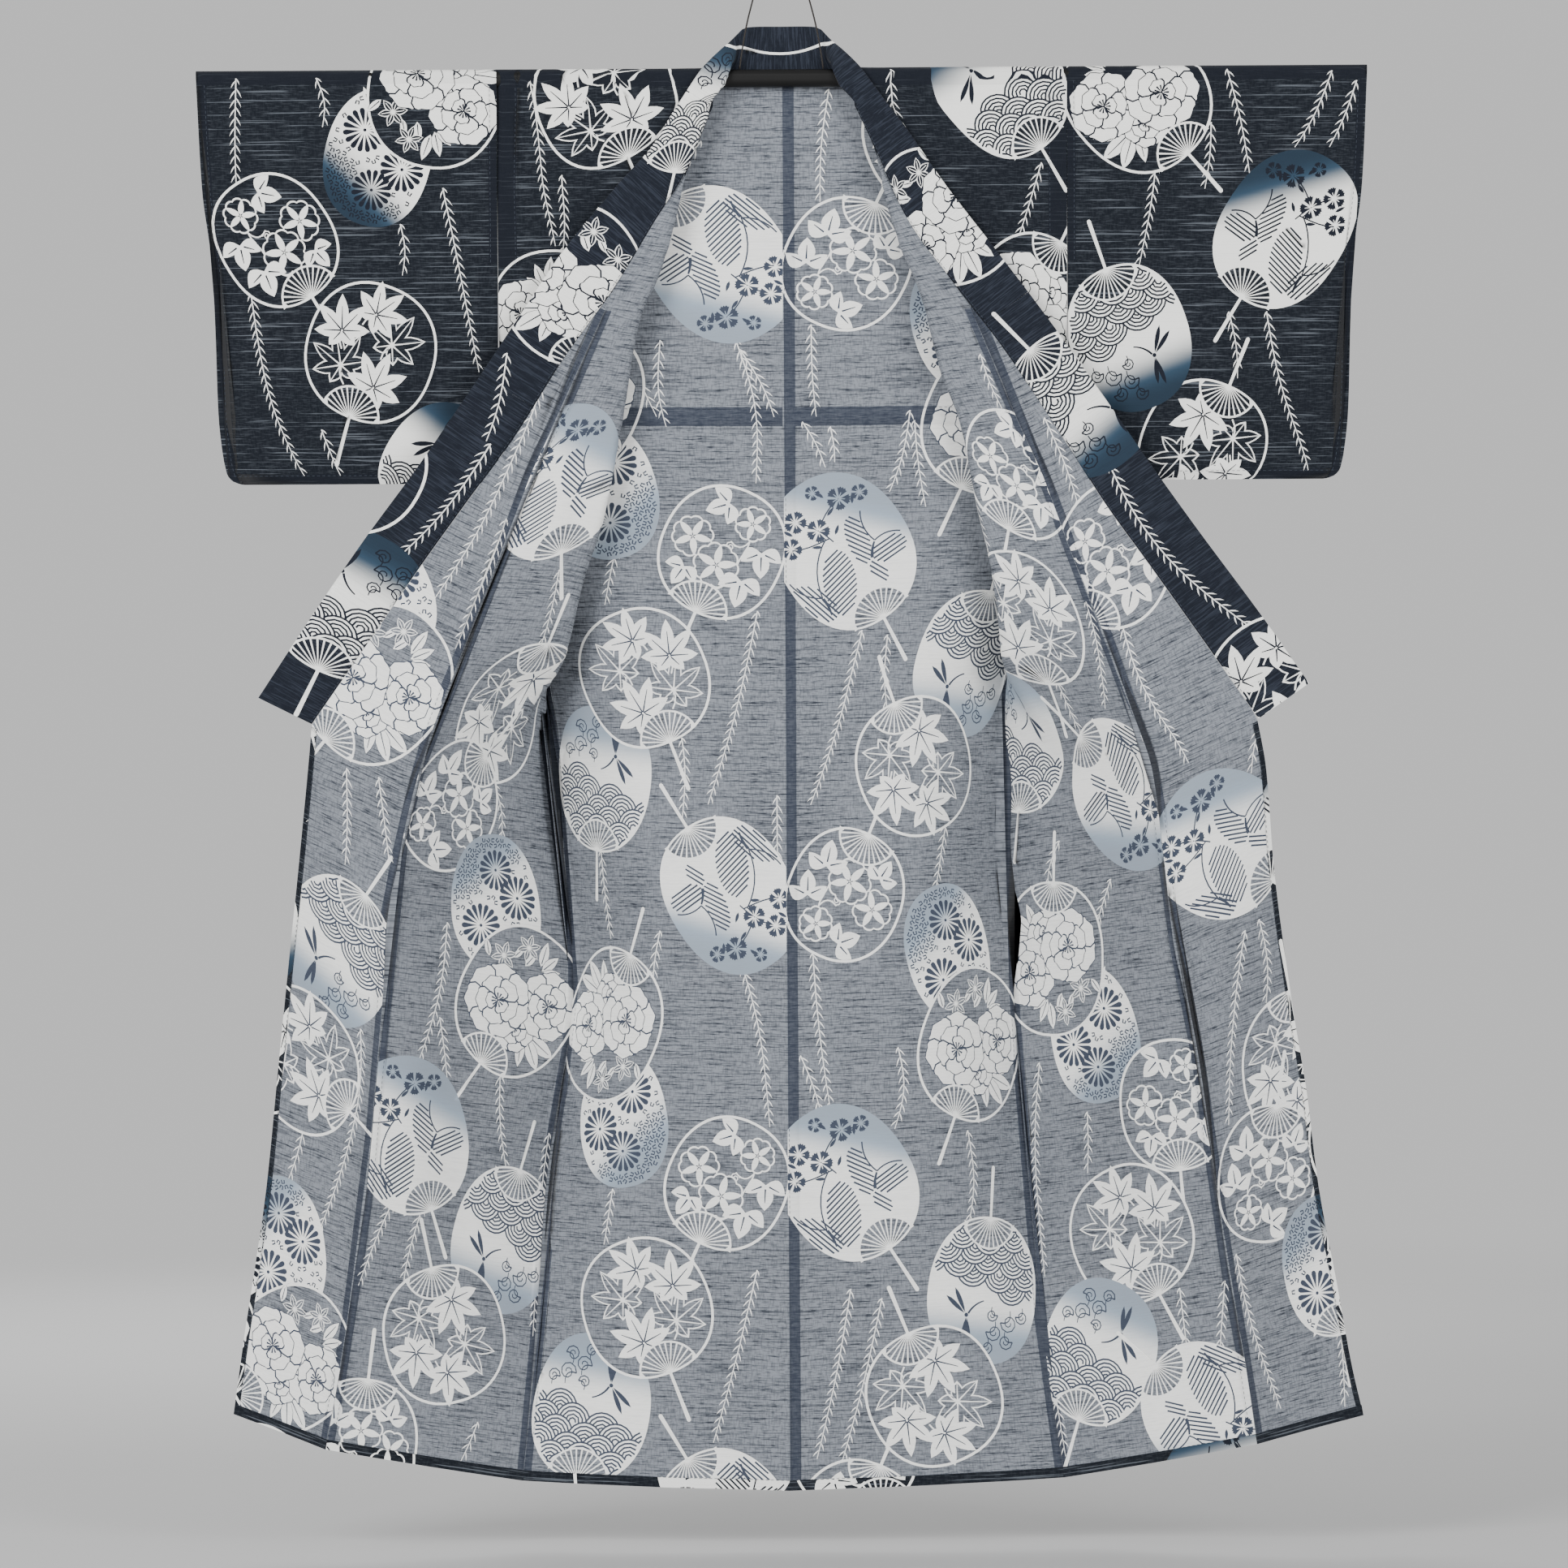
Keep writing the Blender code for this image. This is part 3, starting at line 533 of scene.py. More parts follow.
@dataclass
class Surface:
    """Cloth hung in place, as a fine grid over its own (u, v) in mm.

    Fields:
        points: rows along v, columns along u, in metres.
        us: each column's u.
        vs: each row's v.
        outside: 1 if u x v already points out of the cloth's right side, else -1.
    """

    points: Array
    us: Array
    vs: Array
    outside: float = 1.0
    normals: Array = field(init=False)

    def __post_init__(self) -> None:
        """Work out the normals."""
        self.refresh()

    def refresh(self) -> None:
        """Normals from the grid's own slopes."""
        across = np.gradient(self.points, axis=1)
        along = np.gradient(self.points, axis=0)
        normal = np.cross(across, along)
        size = np.linalg.norm(normal, axis=2, keepdims=True)
        self.normals = normal / np.maximum(size, 1e-12) * self.outside

    def sway(self, drape: Drape) -> None:
        """Add the drape's unevenness."""
        for row in self.points:
            for point in row:
                point[1] += drape.depth_at(point[0], point[2])
        self.refresh()

    def _blend(self, grid: Array, u: Array, v: Array) -> Array:
        """Values of a grid at cloth places."""
        col = np.interp(u, self.us, np.arange(len(self.us)))
        row = np.interp(v, self.vs, np.arange(len(self.vs)))
        i = np.minimum(row.astype(int), len(self.vs) - 2)
        j = np.minimum(col.astype(int), len(self.us) - 2)
        b = (row - i)[:, None]
        a = (col - j)[:, None]
        upper = grid[i, j] * (1 - a) + grid[i, j + 1] * a
        lower = grid[i + 1, j] * (1 - a) + grid[i + 1, j + 1] * a
        return upper * (1 - b) + lower * b

    def at(self, u: Array, v: Array) -> tuple[Array, Array]:
        """Points and outward normals at cloth places."""
        normal = self._blend(self.normals, u, v)
        normal /= np.maximum(np.linalg.norm(normal, axis=1, keepdims=True), 1e-9)
        return self._blend(self.points, u, v), normal

    def find(self, x: float, z: float, columns: Point2) -> tuple[Array, Array]:
        """The cloth place that shows at (x, z), and how the view's axes lie in the cloth.

        Args:
            x: across, in metres.
            z: height, in metres.
            columns: the least and greatest u that may be meant.

        Returns:
            The (u, v) there, and the turn from the view's millimetres to the cloth's.
        """
        allowed = (self.us >= columns[0]) & (self.us <= columns[1])
        away = (self.points[:, :, 0] - x) ** 2 + (self.points[:, :, 2] - z) ** 2
        away[:, ~allowed] = np.inf
        i, j = np.unravel_index(np.argmin(away), away.shape)
        i = min(max(i, 2), len(self.vs) - 3)
        j = min(max(j, 2), len(self.us) - 3)
        down = (self.points[i + 2, j] - self.points[i - 2, j])[[0, 2]]
        down /= np.linalg.norm(down)
        across = (self.points[i, j + 1] - self.points[i, j - 1])[[0, 2]]
        beside = np.array([-down[1], down[0]])
        if across @ beside < 0:
            beside = -beside
        return np.array([self.us[j], self.vs[i]]), np.array([beside, down])


def added(name: str, data: bpy.types.ID) -> Piece:
    """A new object of this data, in the scene."""
    made = bpy.data.objects.new(name, data)
    bpy.context.scene.collection.objects.link(made)
    return made


def wheel(count: int, start: float = 0.0) -> Array:
    """This many angles shared round a turn."""
    return start + np.arange(count) * 2 * math.pi / count


def turned(points: Array, angle: float, at: Point2 = (0.0, 0.0), size: float = 1.0) -> Array:
    """Points scaled, turned by an angle in radians, and moved."""
    c, s = math.cos(angle), math.sin(angle)
    return np.asarray(points, float) @ np.array([[c, s], [-s, c]]) * size + np.array(at)


def rim(angles: Array, size: float | Array = 1.0) -> Array:
    """Points round (0, 0) at these angles, at one distance or one for each."""
    return np.stack([np.cos(angles) * size, np.sin(angles) * size], axis=1)


def bent(ends: tuple[Point2, Point2], bow: float, steps: int = 6) -> Array:
    """A line from one end to the other that bows out sideways by a share of its length."""
    start, end = (np.array(e, float) for e in ends)
    along = end - start
    t = np.linspace(0, 1, steps + 1)[:, None]
    side = np.array([-along[1], along[0]]) * bow
    return start + along * t + side * 4 * t * (1 - t)


def within(places: Array, ring: Array) -> Array:
    """Whether each place lies inside an outline.

    Args:
        places: the places.
        ring: the outline's corners.

    Returns:
        True for the places that the outline winds round.
    """
    inside = np.zeros(len(places), bool)
    start, end = ring, np.roll(ring, -1, axis=0)
    for low in range(0, len(places), 4000):
        x, y = places[low : low + 4000, 0, None], places[low : low + 4000, 1, None]
        up = (start[:, 1] <= y) & (end[:, 1] > y)
        down = (end[:, 1] <= y) & (start[:, 1] > y)
        way = end - start
        left = way[:, 0] * (y - start[:, 1]) - (x - start[:, 0]) * way[:, 1]
        winding = (up & (left > 0)).sum(axis=1) - (down & (left < 0)).sum(axis=1)
        inside[low : low + 4000] = winding != 0
    return inside


@dataclass
class Drawing:
    """Shapes laid one over another, in mm round a motif's own centre, x right and y up.

    Fields:
        shapes: each shape's ink and outline, the lowest first.
        fade_way: direction in which the fading is measured, in radians.
        fade_middle: where along that way the blue is deepest, in mm.
        fade_reach: how far the blue reaches to each side of it, in mm.
    """

    shapes: list[tuple[Ink, Array]] = field(default_factory=list)
    fade_way: float = math.pi / 2
    fade_middle: float = 0.0
    fade_reach: float = 1.0

    def area(self, ink: Ink, outline: Array) -> None:
        """Lay a filled outline."""
        self.shapes.append((ink, np.asarray(outline, float)))

    def disc(self, ink: Ink, at: Point2, across: float, up: float = 0.0, corners: int = 12) -> None:
        """Lay a filled round."""
        self.area(ink, rim(wheel(corners)) * (across, up or across) + np.array(at))

    def line(self, ink: Ink, path: Array, width: float, end_width: float | None = None) -> None:
        """Lay a line of a width, which may narrow towards its end."""
        path = np.asarray(path, float)
        way = np.gradient(path, axis=0)
        way /= np.maximum(np.linalg.norm(way, axis=1, keepdims=True), 1e-9)
        side = np.stack([-way[:, 1], way[:, 0]], axis=1)
        last = width if end_width is None else end_width
        half = np.linspace(width, last, len(path))[:, None] / 2
        self.area(ink, np.vstack([path + side * half, (path - side * half)[::-1]]))

    def fade(self, local: Array) -> Array:
        """How blue the fading ground is at these places, 0 to 1."""
        along = local[:, 0] * math.cos(self.fade_way) + local[:, 1] * math.sin(self.fade_way)
        return 1 - rises(0.05, 1.0, np.abs(along - self.fade_middle) / self.fade_reach)


@dataclass
class Uchiwa:
    """A round fan: its outline, ribs and handle, with a picture drawn inside by its kinds.

    Fields:
        across: half its width, in mm.
        up: half its height.
        ringed: True for a ring round bare cloth, False for a filled fan.
        grip: length of the handle below the rim.
        lens: radius of the ribbed sector at the handle.
    """

    across: float
    up: float
    ringed: bool
    grip: float = 58.0
    lens: float = 37.0
    drawing: Drawing = field(default_factory=Drawing)

    POWER = 2.25
    SHOWN = 0.985

    def outline(self, inset: float = 0.0, corners: int = 56) -> Array:
        """The fan's rim, slightly squarer than a circle."""
        angles = wheel(corners, -math.pi / 2)
        c, s = np.cos(angles), np.sin(angles)
        x = np.sign(c) * np.abs(c) ** (2 / self.POWER) * (self.across - inset)
        y = np.sign(s) * np.abs(s) ** (2 / self.POWER) * (self.up - inset)
        return np.stack([x, y], axis=1)

    def outness(self, places: Array) -> Array:
        """How far out places are: 1 at the rim."""
        share = np.abs(places) / (self.across - 1.2, self.up - 1.2)
        return (share**self.POWER).sum(axis=1) ** (1 / self.POWER)

    def inside(self, ink: Ink, outline: Array) -> None:
        """Lay a filled outline, held back within the rim."""
        out = np.maximum(self.outness(outline), 1.0)
        if out.min() < 1.001:
            self.drawing.area(ink, outline / out[:, None])

    def stroke(self, ink: Ink, path: Array, width: float, end_width: float | None = None) -> None:
        """Lay the part of a line that is within the rim."""
        shown = np.flatnonzero(self.outness(path) < self.SHOWN)
        if len(shown) > 1 and shown[-1] - shown[0] == len(shown) - 1:
            self.drawing.line(ink, path[shown], width, end_width)

    def picture(self) -> None:
        """Draw what is inside the fan; each kind has its own."""

    def ribs(self) -> None:
        """The ribs that spread from the handle over a sector at the fan's foot."""
        d = self.drawing
        foot = np.array([0.0, -self.up + 0.6])
        angles = np.linspace(math.radians(-81), math.radians(81), 15)
        rays = np.stack([np.sin(angles), np.cos(angles)], axis=1)
        edge = self.outline(0.0, 112)
        low = edge[(edge[:, 1] < 0) & (np.abs(edge[:, 0]) < self.lens * 0.97)]
        low = low[np.argsort(low[:, 0])]
        d.area(Ink.WHITE, np.vstack([foot + rays * (self.lens + 1.1), low[::-1]]))
        bed = low[np.abs(low[:, 0]) < self.lens * 0.9] + (0, 2.6)
        d.area(Ink.BARE, np.vstack([foot + rays[1:-1] * (self.lens - 1.3), bed[::-1]]))
        for ray in rays[1:-1]:
            d.line(Ink.WHITE, np.array([foot + ray * 1.5, foot + ray * self.lens]), 0.8, 2.1)
        d.disc(Ink.WHITE, (0, foot[1] + 1.5), 3.0, 3.4, corners=10)

    def build(self) -> Drawing:
        """The whole fan.

        Returns:
            Its drawing.
        """
        d = self.drawing
        stick = np.array([(0, -self.up + 4), (0, -self.up - self.grip)])
        d.line(Ink.WHITE, stick, 3.4, 5.0)
        d.disc(Ink.WHITE, (0, -self.up - self.grip), 2.5, corners=8)
        if self.ringed:
            d.area(Ink.WHITE, self.outline())
            d.area(Ink.BARE, self.outline(3.0))
        else:
            d.area(Ink.FADE, self.outline())
        self.picture()
        self.ribs()
        return d


def leaf_blade(length: float, width: float, steps: int = 5) -> Array:
    """A pointed leaf's outline that starts at (0, 0) and grows up."""
    t = np.linspace(0, 1, steps + 1)
    half = width / 2 * np.sin(math.pi * t**0.85) ** 0.85
    right = np.stack([half, t * length], axis=1)
    return np.vstack([right, (right * (-1, 1))[-2:0:-1]])


class MapleFan(Uchiwa):
    """Maple leaves, some filled and some drawn in outline, inside a ring."""

    LOBES = (
        (0, 1.0), (44, 0.96), (-44, 0.96), (90, 0.8), (-90, 0.8), (137, 0.55), (-137, 0.55),
    )
    LEAVES = (
        (-22, 17, 44, 20, False), (30, -27, 45, -28, False), (8, 44, 42, 36, True),
        (42, 12, 43, -18, True), (-17, -38, 46, 8, True),
    )

    def leaf(self, at: Point2, size: float, angle: float, filled: bool) -> None:
        """One seven-lobed leaf.

        Args:
            at: its centre.
            size: length of its middle lobe.
            angle: turn, in degrees.
            filled: True for a white leaf, False for an outlined one.
        """
        d = self.drawing
        for lobe, reach in self.LOBES:
            blade = leaf_blade(size * reach, size * 0.37)
            d.area(Ink.WHITE, turned(blade, math.radians(angle + lobe), at))
        for lobe, reach in () if filled else self.LOBES:
            blade = leaf_blade(size * reach - 4.2, size * 0.37 - 3.0) + (0, 1.4)
            d.area(Ink.BARE, turned(blade, math.radians(angle + lobe), at))
        vein = Ink.DARK if filled else Ink.WHITE
        for lobe, reach in self.LOBES:
            rib = [(0, 1.2), (0, size * reach * (0.66 if filled else 0.9))]
            d.line(vein, turned(rib, math.radians(angle + lobe), at), 1.9, 0.8)
        stalk = bent(((0, 0), (0, -size * 0.5)), 0.12, 3)
        d.line(Ink.WHITE, turned(stalk, math.radians(angle), at), 1.9)

    def picture(self) -> None:
        """The leaves."""
        for x, y, size, angle, filled in self.LEAVES:
            self.leaf((x, y), size, angle, filled)


class MorningGloryFan(Uchiwa):
    """Open morning glories, three-lobed leaves and tendrils inside a ring."""

    FLOWERS = ((-38, 3, 25, 10), (0, -17, 27.5, 28), (19, 45, 21.5, -12))
    LEAVES = ((-15, 56, 29, 132), (42, 18, 30, -158), (-33, -34, 26, 168), (34, -22, 32, 190))

    def flower(self, at: Point2, size: float, angle: float) -> None:
        """One open flower: a rippled rim and a star of five pointed petals."""
        d = self.drawing
        angles = wheel(60, math.radians(angle))
        wave = 0.9 + 0.1 * np.abs(np.sin(5 * (angles - math.radians(angle)))) ** 0.7
        edge = rim(angles) * (wave * size)[:, None]
        d.area(Ink.WHITE, edge + np.array(at))
        d.area(Ink.BARE, edge * (1 - 2.2 / size) + np.array(at))
        for k in range(5):
            turn = math.radians(angle + 90 + 36 + 72 * k)
            d.area(Ink.WHITE, turned(leaf_blade(size * 0.92, size * 0.33), turn, at))
        for k in range(5):
            turn = math.radians(angle + 90 + 72 * k)
            d.line(Ink.DARK, turned([(0, 0.8), (0, size * 0.15)], turn, at), 1.3, 1.0)

    def leaf(self, at: Point2, size: float, angle: float) -> None:
        """One three-lobed leaf with dark veins."""
        d = self.drawing
        for lobe, reach, fat in ((66, 0.86, 0.56), (-66, 0.86, 0.56), (0, 1.0, 0.66)):
            blade = leaf_blade(size * reach, size * fat, 7)
            blade[:, 0] += np.sign(lobe) * -0.12 * size * np.sin(math.pi * blade[:, 1] / size / reach)
            d.area(Ink.WHITE, turned(blade, math.radians(angle + lobe), at))
            rib = [(0, size * 0.16), (0, size * reach * 0.7)]
            d.line(Ink.DARK, turned(rib, math.radians(angle + lobe), at), 2.0, 0.9)

    def tendril(self, at: Point2, size: float, angle: float) -> None:
        """A curled thread."""
        t = np.linspace(0, 1, 14)
        curl = rim(3.0 * math.pi * t**0.8, size * (1 - 0.8 * t))
        self.drawing.line(Ink.WHITE, turned(curl, angle, at), 1.5, 1.2)

    def picture(self) -> None:
        """Stems, tendrils, leaves and flowers."""
        d = self.drawing
        stem = soft_path([(20, 40), (27, 18), (20, -2), (26, -24), (12, -46), (-12, -52)], 30)
        d.line(Ink.WHITE, stem, 1.7)
        d.line(Ink.WHITE, bent(((24, 24), (4, 16)), 0.3), 1.7)
        for x, y, size, angle in ((6, 10, 6, 0.4), (-8, -50, 5, 1.2)):
            self.tendril((x, y), size, angle)
        for x, y, size, angle in self.FLOWERS:
            self.flower((x, y), size, angle)
        for x, y, size, angle in self.LEAVES:
            self.leaf((x, y), size, angle)


class WaveFan(Uchiwa):
    """Overlapping wave scales, curls and a dragonfly on a fan that fades to blue at the top."""

    SCALE = 22.0
    CURLS = (
        (-36, 36, 12, 1), (-16, 48, 11, 1), (-32, 58, 10, -1), (-54, 28, 9, 1), (-8, 66, 9, 1),
        (-12, 28, 8, -1),
    )

    def scales(self) -> None:
        """Wave scales of nested arcs, each row over the row behind."""
        size = self.SCALE
        for row in range(9):
            y = 20.0 - row * size * 0.66
            for k in range(-4, 5):
                x = (k + 0.5 * (row % 2)) * size * 1.72
                sway = 3.0 * math.sin(2.1 * k + 1.3 * row)
                if y > -13 - 0.28 * x:
                    continue
                self.inside(Ink.FADE, rim(wheel(20)) * size + (x, y + sway))
                for ring in (1.0, 0.8, 0.6, 0.4, 0.2):
                    angles = np.linspace(-0.05 * math.pi, 1.05 * math.pi, max(int(12 * ring), 5))
                    self.stroke(Ink.DARK, rim(angles) * size * ring + (x, y + sway), 2.1)

    def dragonfly(self) -> None:
        """A dark dragonfly above the waves."""
        d = self.drawing
        at = (22.0, 30.0)
        tail = turned(bent(((0, 3), (0, 28)), 0.1), math.radians(130), at)
        d.line(Ink.DARK, tail, 2.6, 1.5)
        d.disc(Ink.DARK, at, 2.6, corners=8)
        for angle, length in ((12, 31), (-4, 34), (-127, 32), (-150, 33)):
            wing = (0, length + 3) - leaf_blade(length, 5.6)
            d.area(Ink.DARK, turned(wing, math.radians(angle), at))

    def curls(self) -> None:
        """Curling wave crests on the blue."""
        t = np.linspace(0, 1, 15)
        for x, y, size, way in self.CURLS:
            curl = rim(3.1 * math.pi * t, size * (1 - 0.8 * t)) * (way, 1)
            self.stroke(Ink.DARK, curl + (x, y), 1.6, 1.3)
            tail = bent(((x + way * size, y), (x - way * size * 0.1, y - size * 1.2)), -0.35 * way, 6)
            self.stroke(Ink.DARK, tail, 1.8, 1.1)

    def picture(self) -> None:
        """Waves below, dragonfly between, curls above."""
        self.drawing.fade_middle = self.up * 1.0
        self.drawing.fade_reach = self.up * 0.98
        self.scales()
        self.dragonfly()
        self.curls()


class ButterflyFan(Uchiwa):
    """Large butterflies of hatched wings and dark pinks on a fan that fades to blue."""

    WINGS = (
        ((-23, -29), 39, 20, 66, 12), ((-61, -34), 31, 17, 117, 107), ((21, 2), 30, 13, 80, -58),
        ((47, -26), 22, 14, -1, 2), ((23, -43), 15, 9, 95, -63),
    )
    BODIES = (((-50, -34), (-51, -56)), ((24, -25), (36, -10)))
    FEELERS = (
        ((-50, -33), (-74, 3)), ((-50, -33), (-10, 24)), ((37, -9), (41, 30)), ((37, -9), (68, -16)),
    )
    PINKS = (
        (-29, 60, 13.5), (-12, 37, 14), (-50, 36, 13), (28, 56, 14), (6, 78, 9), (52, 49, 10),
    )
    STEMS = (
        ((-4, 16), (-10, 36), (-24, 56)), ((-6, 22), (-34, 26), (-50, 34)), ((-8, 40), (10, 52), (28, 56)),
    )
    LEAVES = ((2, 22, -50), (-18, 18, 60), (6, 46, -70), (14, 66, 20), (-40, 48, 30), (38, 42, -30))
    PETAL = ((0.0, 0.12), (0.3, 0.6), (0.44, 0.84), (0.3, 0.84), (0.23, 1.0), (0.09, 0.91), (0, 1.03))
    HATCH_PITCH = 5.0

    def wing(self, at: Point2, long: float, wide: float, angle: float, hatch: float) -> None:
        """One wing of bold parallel dark lines.

        Args:
            at: its middle.
            long: half its length.
            wide: half its width.
            angle: which way its length points, in degrees.
            hatch: which way its lines run, in degrees.
        """
        lean = math.radians(hatch - angle)
        way = np.array([math.cos(lean), math.sin(lean)])
        side = np.array([-way[1], way[0]])
        reach = math.hypot(long * side[0], wide * side[1])
        for k in range(int(-reach / self.HATCH_PITCH), int(reach / self.HATCH_PITCH) + 1):
            offset = k * self.HATCH_PITCH
            start = side * offset / (long, wide)
            step = way / (long, wide)
            a, b, c = step @ step, start @ step, start @ start - 1
            if b * b - a * c <= (3.0 * a) ** 2:
                continue
            root = math.sqrt(b * b - a * c)
            along = np.linspace((-b - root) / a, (-b + root) / a, 13)[:, None]
            path = turned(side * offset + way * along, math.radians(angle), at)
            path = path[self.outness(path) < self.SHOWN]
            if len(path) > 1:
                self.drawing.line(Ink.DARK, path[[0, -1]], 2.2, 1.9)

    def pink(self, at: Point2, size: float) -> None:
        """One dark pink of five notched petals with pale veins."""
        petal = [*self.PETAL, *((-x, y) for x, y in self.PETAL[-2:0:-1])]
        for angle in wheel(5, 0.3):
            self.inside(Ink.DARK, turned(petal, angle, at, size))
            self.stroke(Ink.FADE, turned([(0, 0.05), (0, 0.55)], angle, at, size), 1.3, 0.8)

    def picture(self) -> None:
        """Wings, bodies, then pinks on their stems."""
        d = self.drawing
        d.fade_way = math.radians(42)
        d.fade_middle = self.up * 0.9
        d.fade_reach = self.up * 0.85
        for at, long, wide, angle, hatch in self.WINGS:
            self.wing(at, long, wide, angle, hatch)
        for ends in self.BODIES:
            d.line(Ink.DARK, bent(ends, 0.06, 4), 4.0, 2.2)
        for ends in self.FEELERS:
            self.stroke(Ink.DARK, bent(ends, 0.12, 7), 1.7)
        for corners in self.STEMS:
            d.line(Ink.DARK, soft_path(corners, 9), 1.6)
        for x, y, size in self.PINKS:
            self.pink((x, y), size)
        for x, y, angle in self.LEAVES:
            self.inside(Ink.DARK, turned(leaf_blade(13, 4.0, 4), math.radians(angle), (x, y)))


class KikuFan(Uchiwa):
    """Chrysanthemum rosettes and small curled marks on a fan with a blue side."""

    FLOWERS = ((2, 39, 24), (-23, -27, 26), (31, 6, 26))
    PETAL = ((0, 0.2), (0.04, 0.45), (0.1, 0.74), (0.122, 0.87), (0.085, 0.98), (0, 1.01))
    CURL = ((2.3, 2.0), (-1.9, 1.7), (-1.9, -1.5), (1.8, -1.9))
    PITCH = 7.2

    def flower(self, at: Point2, size: float) -> None:
        """One rosette of sixteen dark petals with pale rays."""
        d = self.drawing
        petal = [*self.PETAL, *((-x, y) for x, y in self.PETAL[-2:0:-1])]
        for angle in wheel(16):
            self.inside(Ink.DARK, turned(petal, angle, at, size))
        d.disc(Ink.DARK, at, size * 0.08, corners=7)

    def marks(self) -> None:
        """Small curled marks: close together on the blue, few on the white."""
        d = self.drawing
        for i in range(-12, 13):
            for j in range(-15, 16):
                x, y = i * self.PITCH + (j % 2) * self.PITCH / 2, j * self.PITCH * 0.86
                spot = np.array([[x, y]])
                if self.outness(spot)[0] > 0.95 or (d.fade(spot)[0] < 0.3 and (i + 2 * j) % 5 > 1):
                    continue
                if any(math.hypot(x - a, y - b) < r + 2.4 for a, b, r in self.FLOWERS):
                    continue
                d.line(Ink.DARK, turned(self.CURL, 0.8 * (i % 4) + 1.7 * (j % 3), (x, y)), 1.7)

    def picture(self) -> None:
        """Marks over the fan, then the rosettes."""
        d = self.drawing
        d.fade_way = math.radians(118)
        d.fade_middle = self.up * 1.0
        d.fade_reach = self.up * 1.05
        self.marks()
        for x, y, size in self.FLOWERS:
            self.flower((x, y), size)


class PeonyFan(Uchiwa):
    """Full peonies drawn in fine lines, leaves and small star flowers inside a ring."""

    FLOWERS = ((12, -30, 29), (36, 18, 41), (-25, -16, 44))
    STARS = ((-46, 34, 18), (-22, 62, 17))
    LEAVES = (
        (2, 52, 32, 10), (6, 48, 30, -22), (8, 44, 26, -50), (-62, 22, 22, 40), (-34, 40, 20, -20),
        (36, -20, 40, -62), (36, -26, 44, -92), (34, -30, 42, -122), (28, -34, 34, -152),
        (-16, 40, 24, -14),
    )
    RINGS = ((7, 0.35, 0.28, 0.72), (5, 0.9, 0.1, 0.56), (3, 2.2, 0.0, 0.36))

    def petal(self, at: Point2, angle: float, size: float) -> None:
        """One broad petal with a rippled dark edge that opens upwards from a place."""
        t = np.linspace(-1, 1, 11)
        edge = 1.0 - 0.42 * t**2 + 0.05 * np.cos(8.5 * t)
        wide = 0.62 * np.sin(t * math.pi / 2)
        petal = np.vstack([np.stack([wide, edge], axis=1), [(0.42, 0.28), (0.0, 0.0), (-0.42, 0.28)]])
        middle = petal.mean(axis=0)
        for ink, grow in ((Ink.DARK, 0.9), (Ink.WHITE, -0.8)):
            grown = middle + (petal - middle) * (1 + grow / size / 0.55)
            self.inside(ink, turned(grown, angle, at, size))

    def flower(self, at: Point2, size: float) -> None:
        """One peony: rings of broad petals round a cup with dark stamens."""
        for count, start, out, reach in self.RINGS:
            for angle in wheel(count, start):
                foot = turned([[0.0, size * out]], angle, at)[0]
                self.petal(tuple(foot), angle, size * reach)
        for angle in wheel(11):
            self.stroke(Ink.DARK, turned([(0, size * 0.05), (0, size * 0.2)], angle, at), 1.0, 2.3)

    def leaf(self, at: Point2, length: float, angle: float) -> None:
        """One pointed leaf with a dark rib."""
        turn = math.radians(angle)
        self.inside(Ink.DARK, turned(leaf_blade(length + 1, length * 0.4 + 1.4), turn, at))
        self.inside(Ink.WHITE, turned(leaf_blade(length, length * 0.4), turn, at))
        self.stroke(Ink.DARK, turned([(0, length * 0.12), (0, length * 0.8)], turn, at), 1.4, 0.8)

    def star_flower(self, at: Point2, size: float) -> None:
        """A small flower of six petals in outline."""
        d = self.drawing
        for inset, ink in ((0.0, Ink.WHITE), (1.5, Ink.BARE)):
            for angle in wheel(6, 0.2):
                blade = leaf_blade(size - inset * 1.8, size * 0.5 - inset * 1.8) + (0, inset)
                d.area(ink, turned(blade, angle, at))
        for angle in wheel(6, 0.2):
            d.line(Ink.WHITE, turned([(0, 0.5), (0, size * 0.75)], angle, at), 1.2, 0.8)

    def picture(self) -> None:
        """Leaves behind, then flowers."""
        for x, y, length, angle in self.LEAVES:
            self.leaf((x, y), length, angle)
        for x, y, size in self.STARS:
            self.star_flower((x, y), size)
        for x, y, size in self.FLOWERS:
            self.flower((x, y), size)


class Motif(Enum):
    """The printed fans."""

    BUTTERFLY = "butterfly"
    PEONY = "peony"
    KIKU = "kiku"
    MORNING = "morning glory"
    MAPLE = "maple"
    RING = "ring"
    WAVE = "wave"


BUTTERFLY, PEONY, KIKU, MORNING, MAPLE, RING, WAVE = Motif


def drawn_fans() -> dict[Motif, Drawing]:
    """Every fan, drawn once."""
    return {
        BUTTERFLY: ButterflyFan(78, 95, False).build(),
        PEONY: PeonyFan(81, 92, True).build(),
        KIKU: KikuFan(63, 82, False).build(),
        MORNING: MorningGloryFan(72, 79, True).build(),
        MAPLE: MapleFan(81, 82, True).build(),
        RING: Uchiwa(81, 82, True).build(),
        WAVE: WaveFan(74, 87, False).build(),
    }


# Willow: distance between leaves and their length in mm, and one leaf as (mm out from its chord, share
# of its length from the stem)
LEAF_PITCH = 10.6
LEAF_LENGTH = 14.0
LEAF_BLADE = ((0.2, 0.0), (1.05, 0.28), (1.1, 0.58), (-0.2, 1.0), (-0.3, 0.6), (-0.35, 0.28))


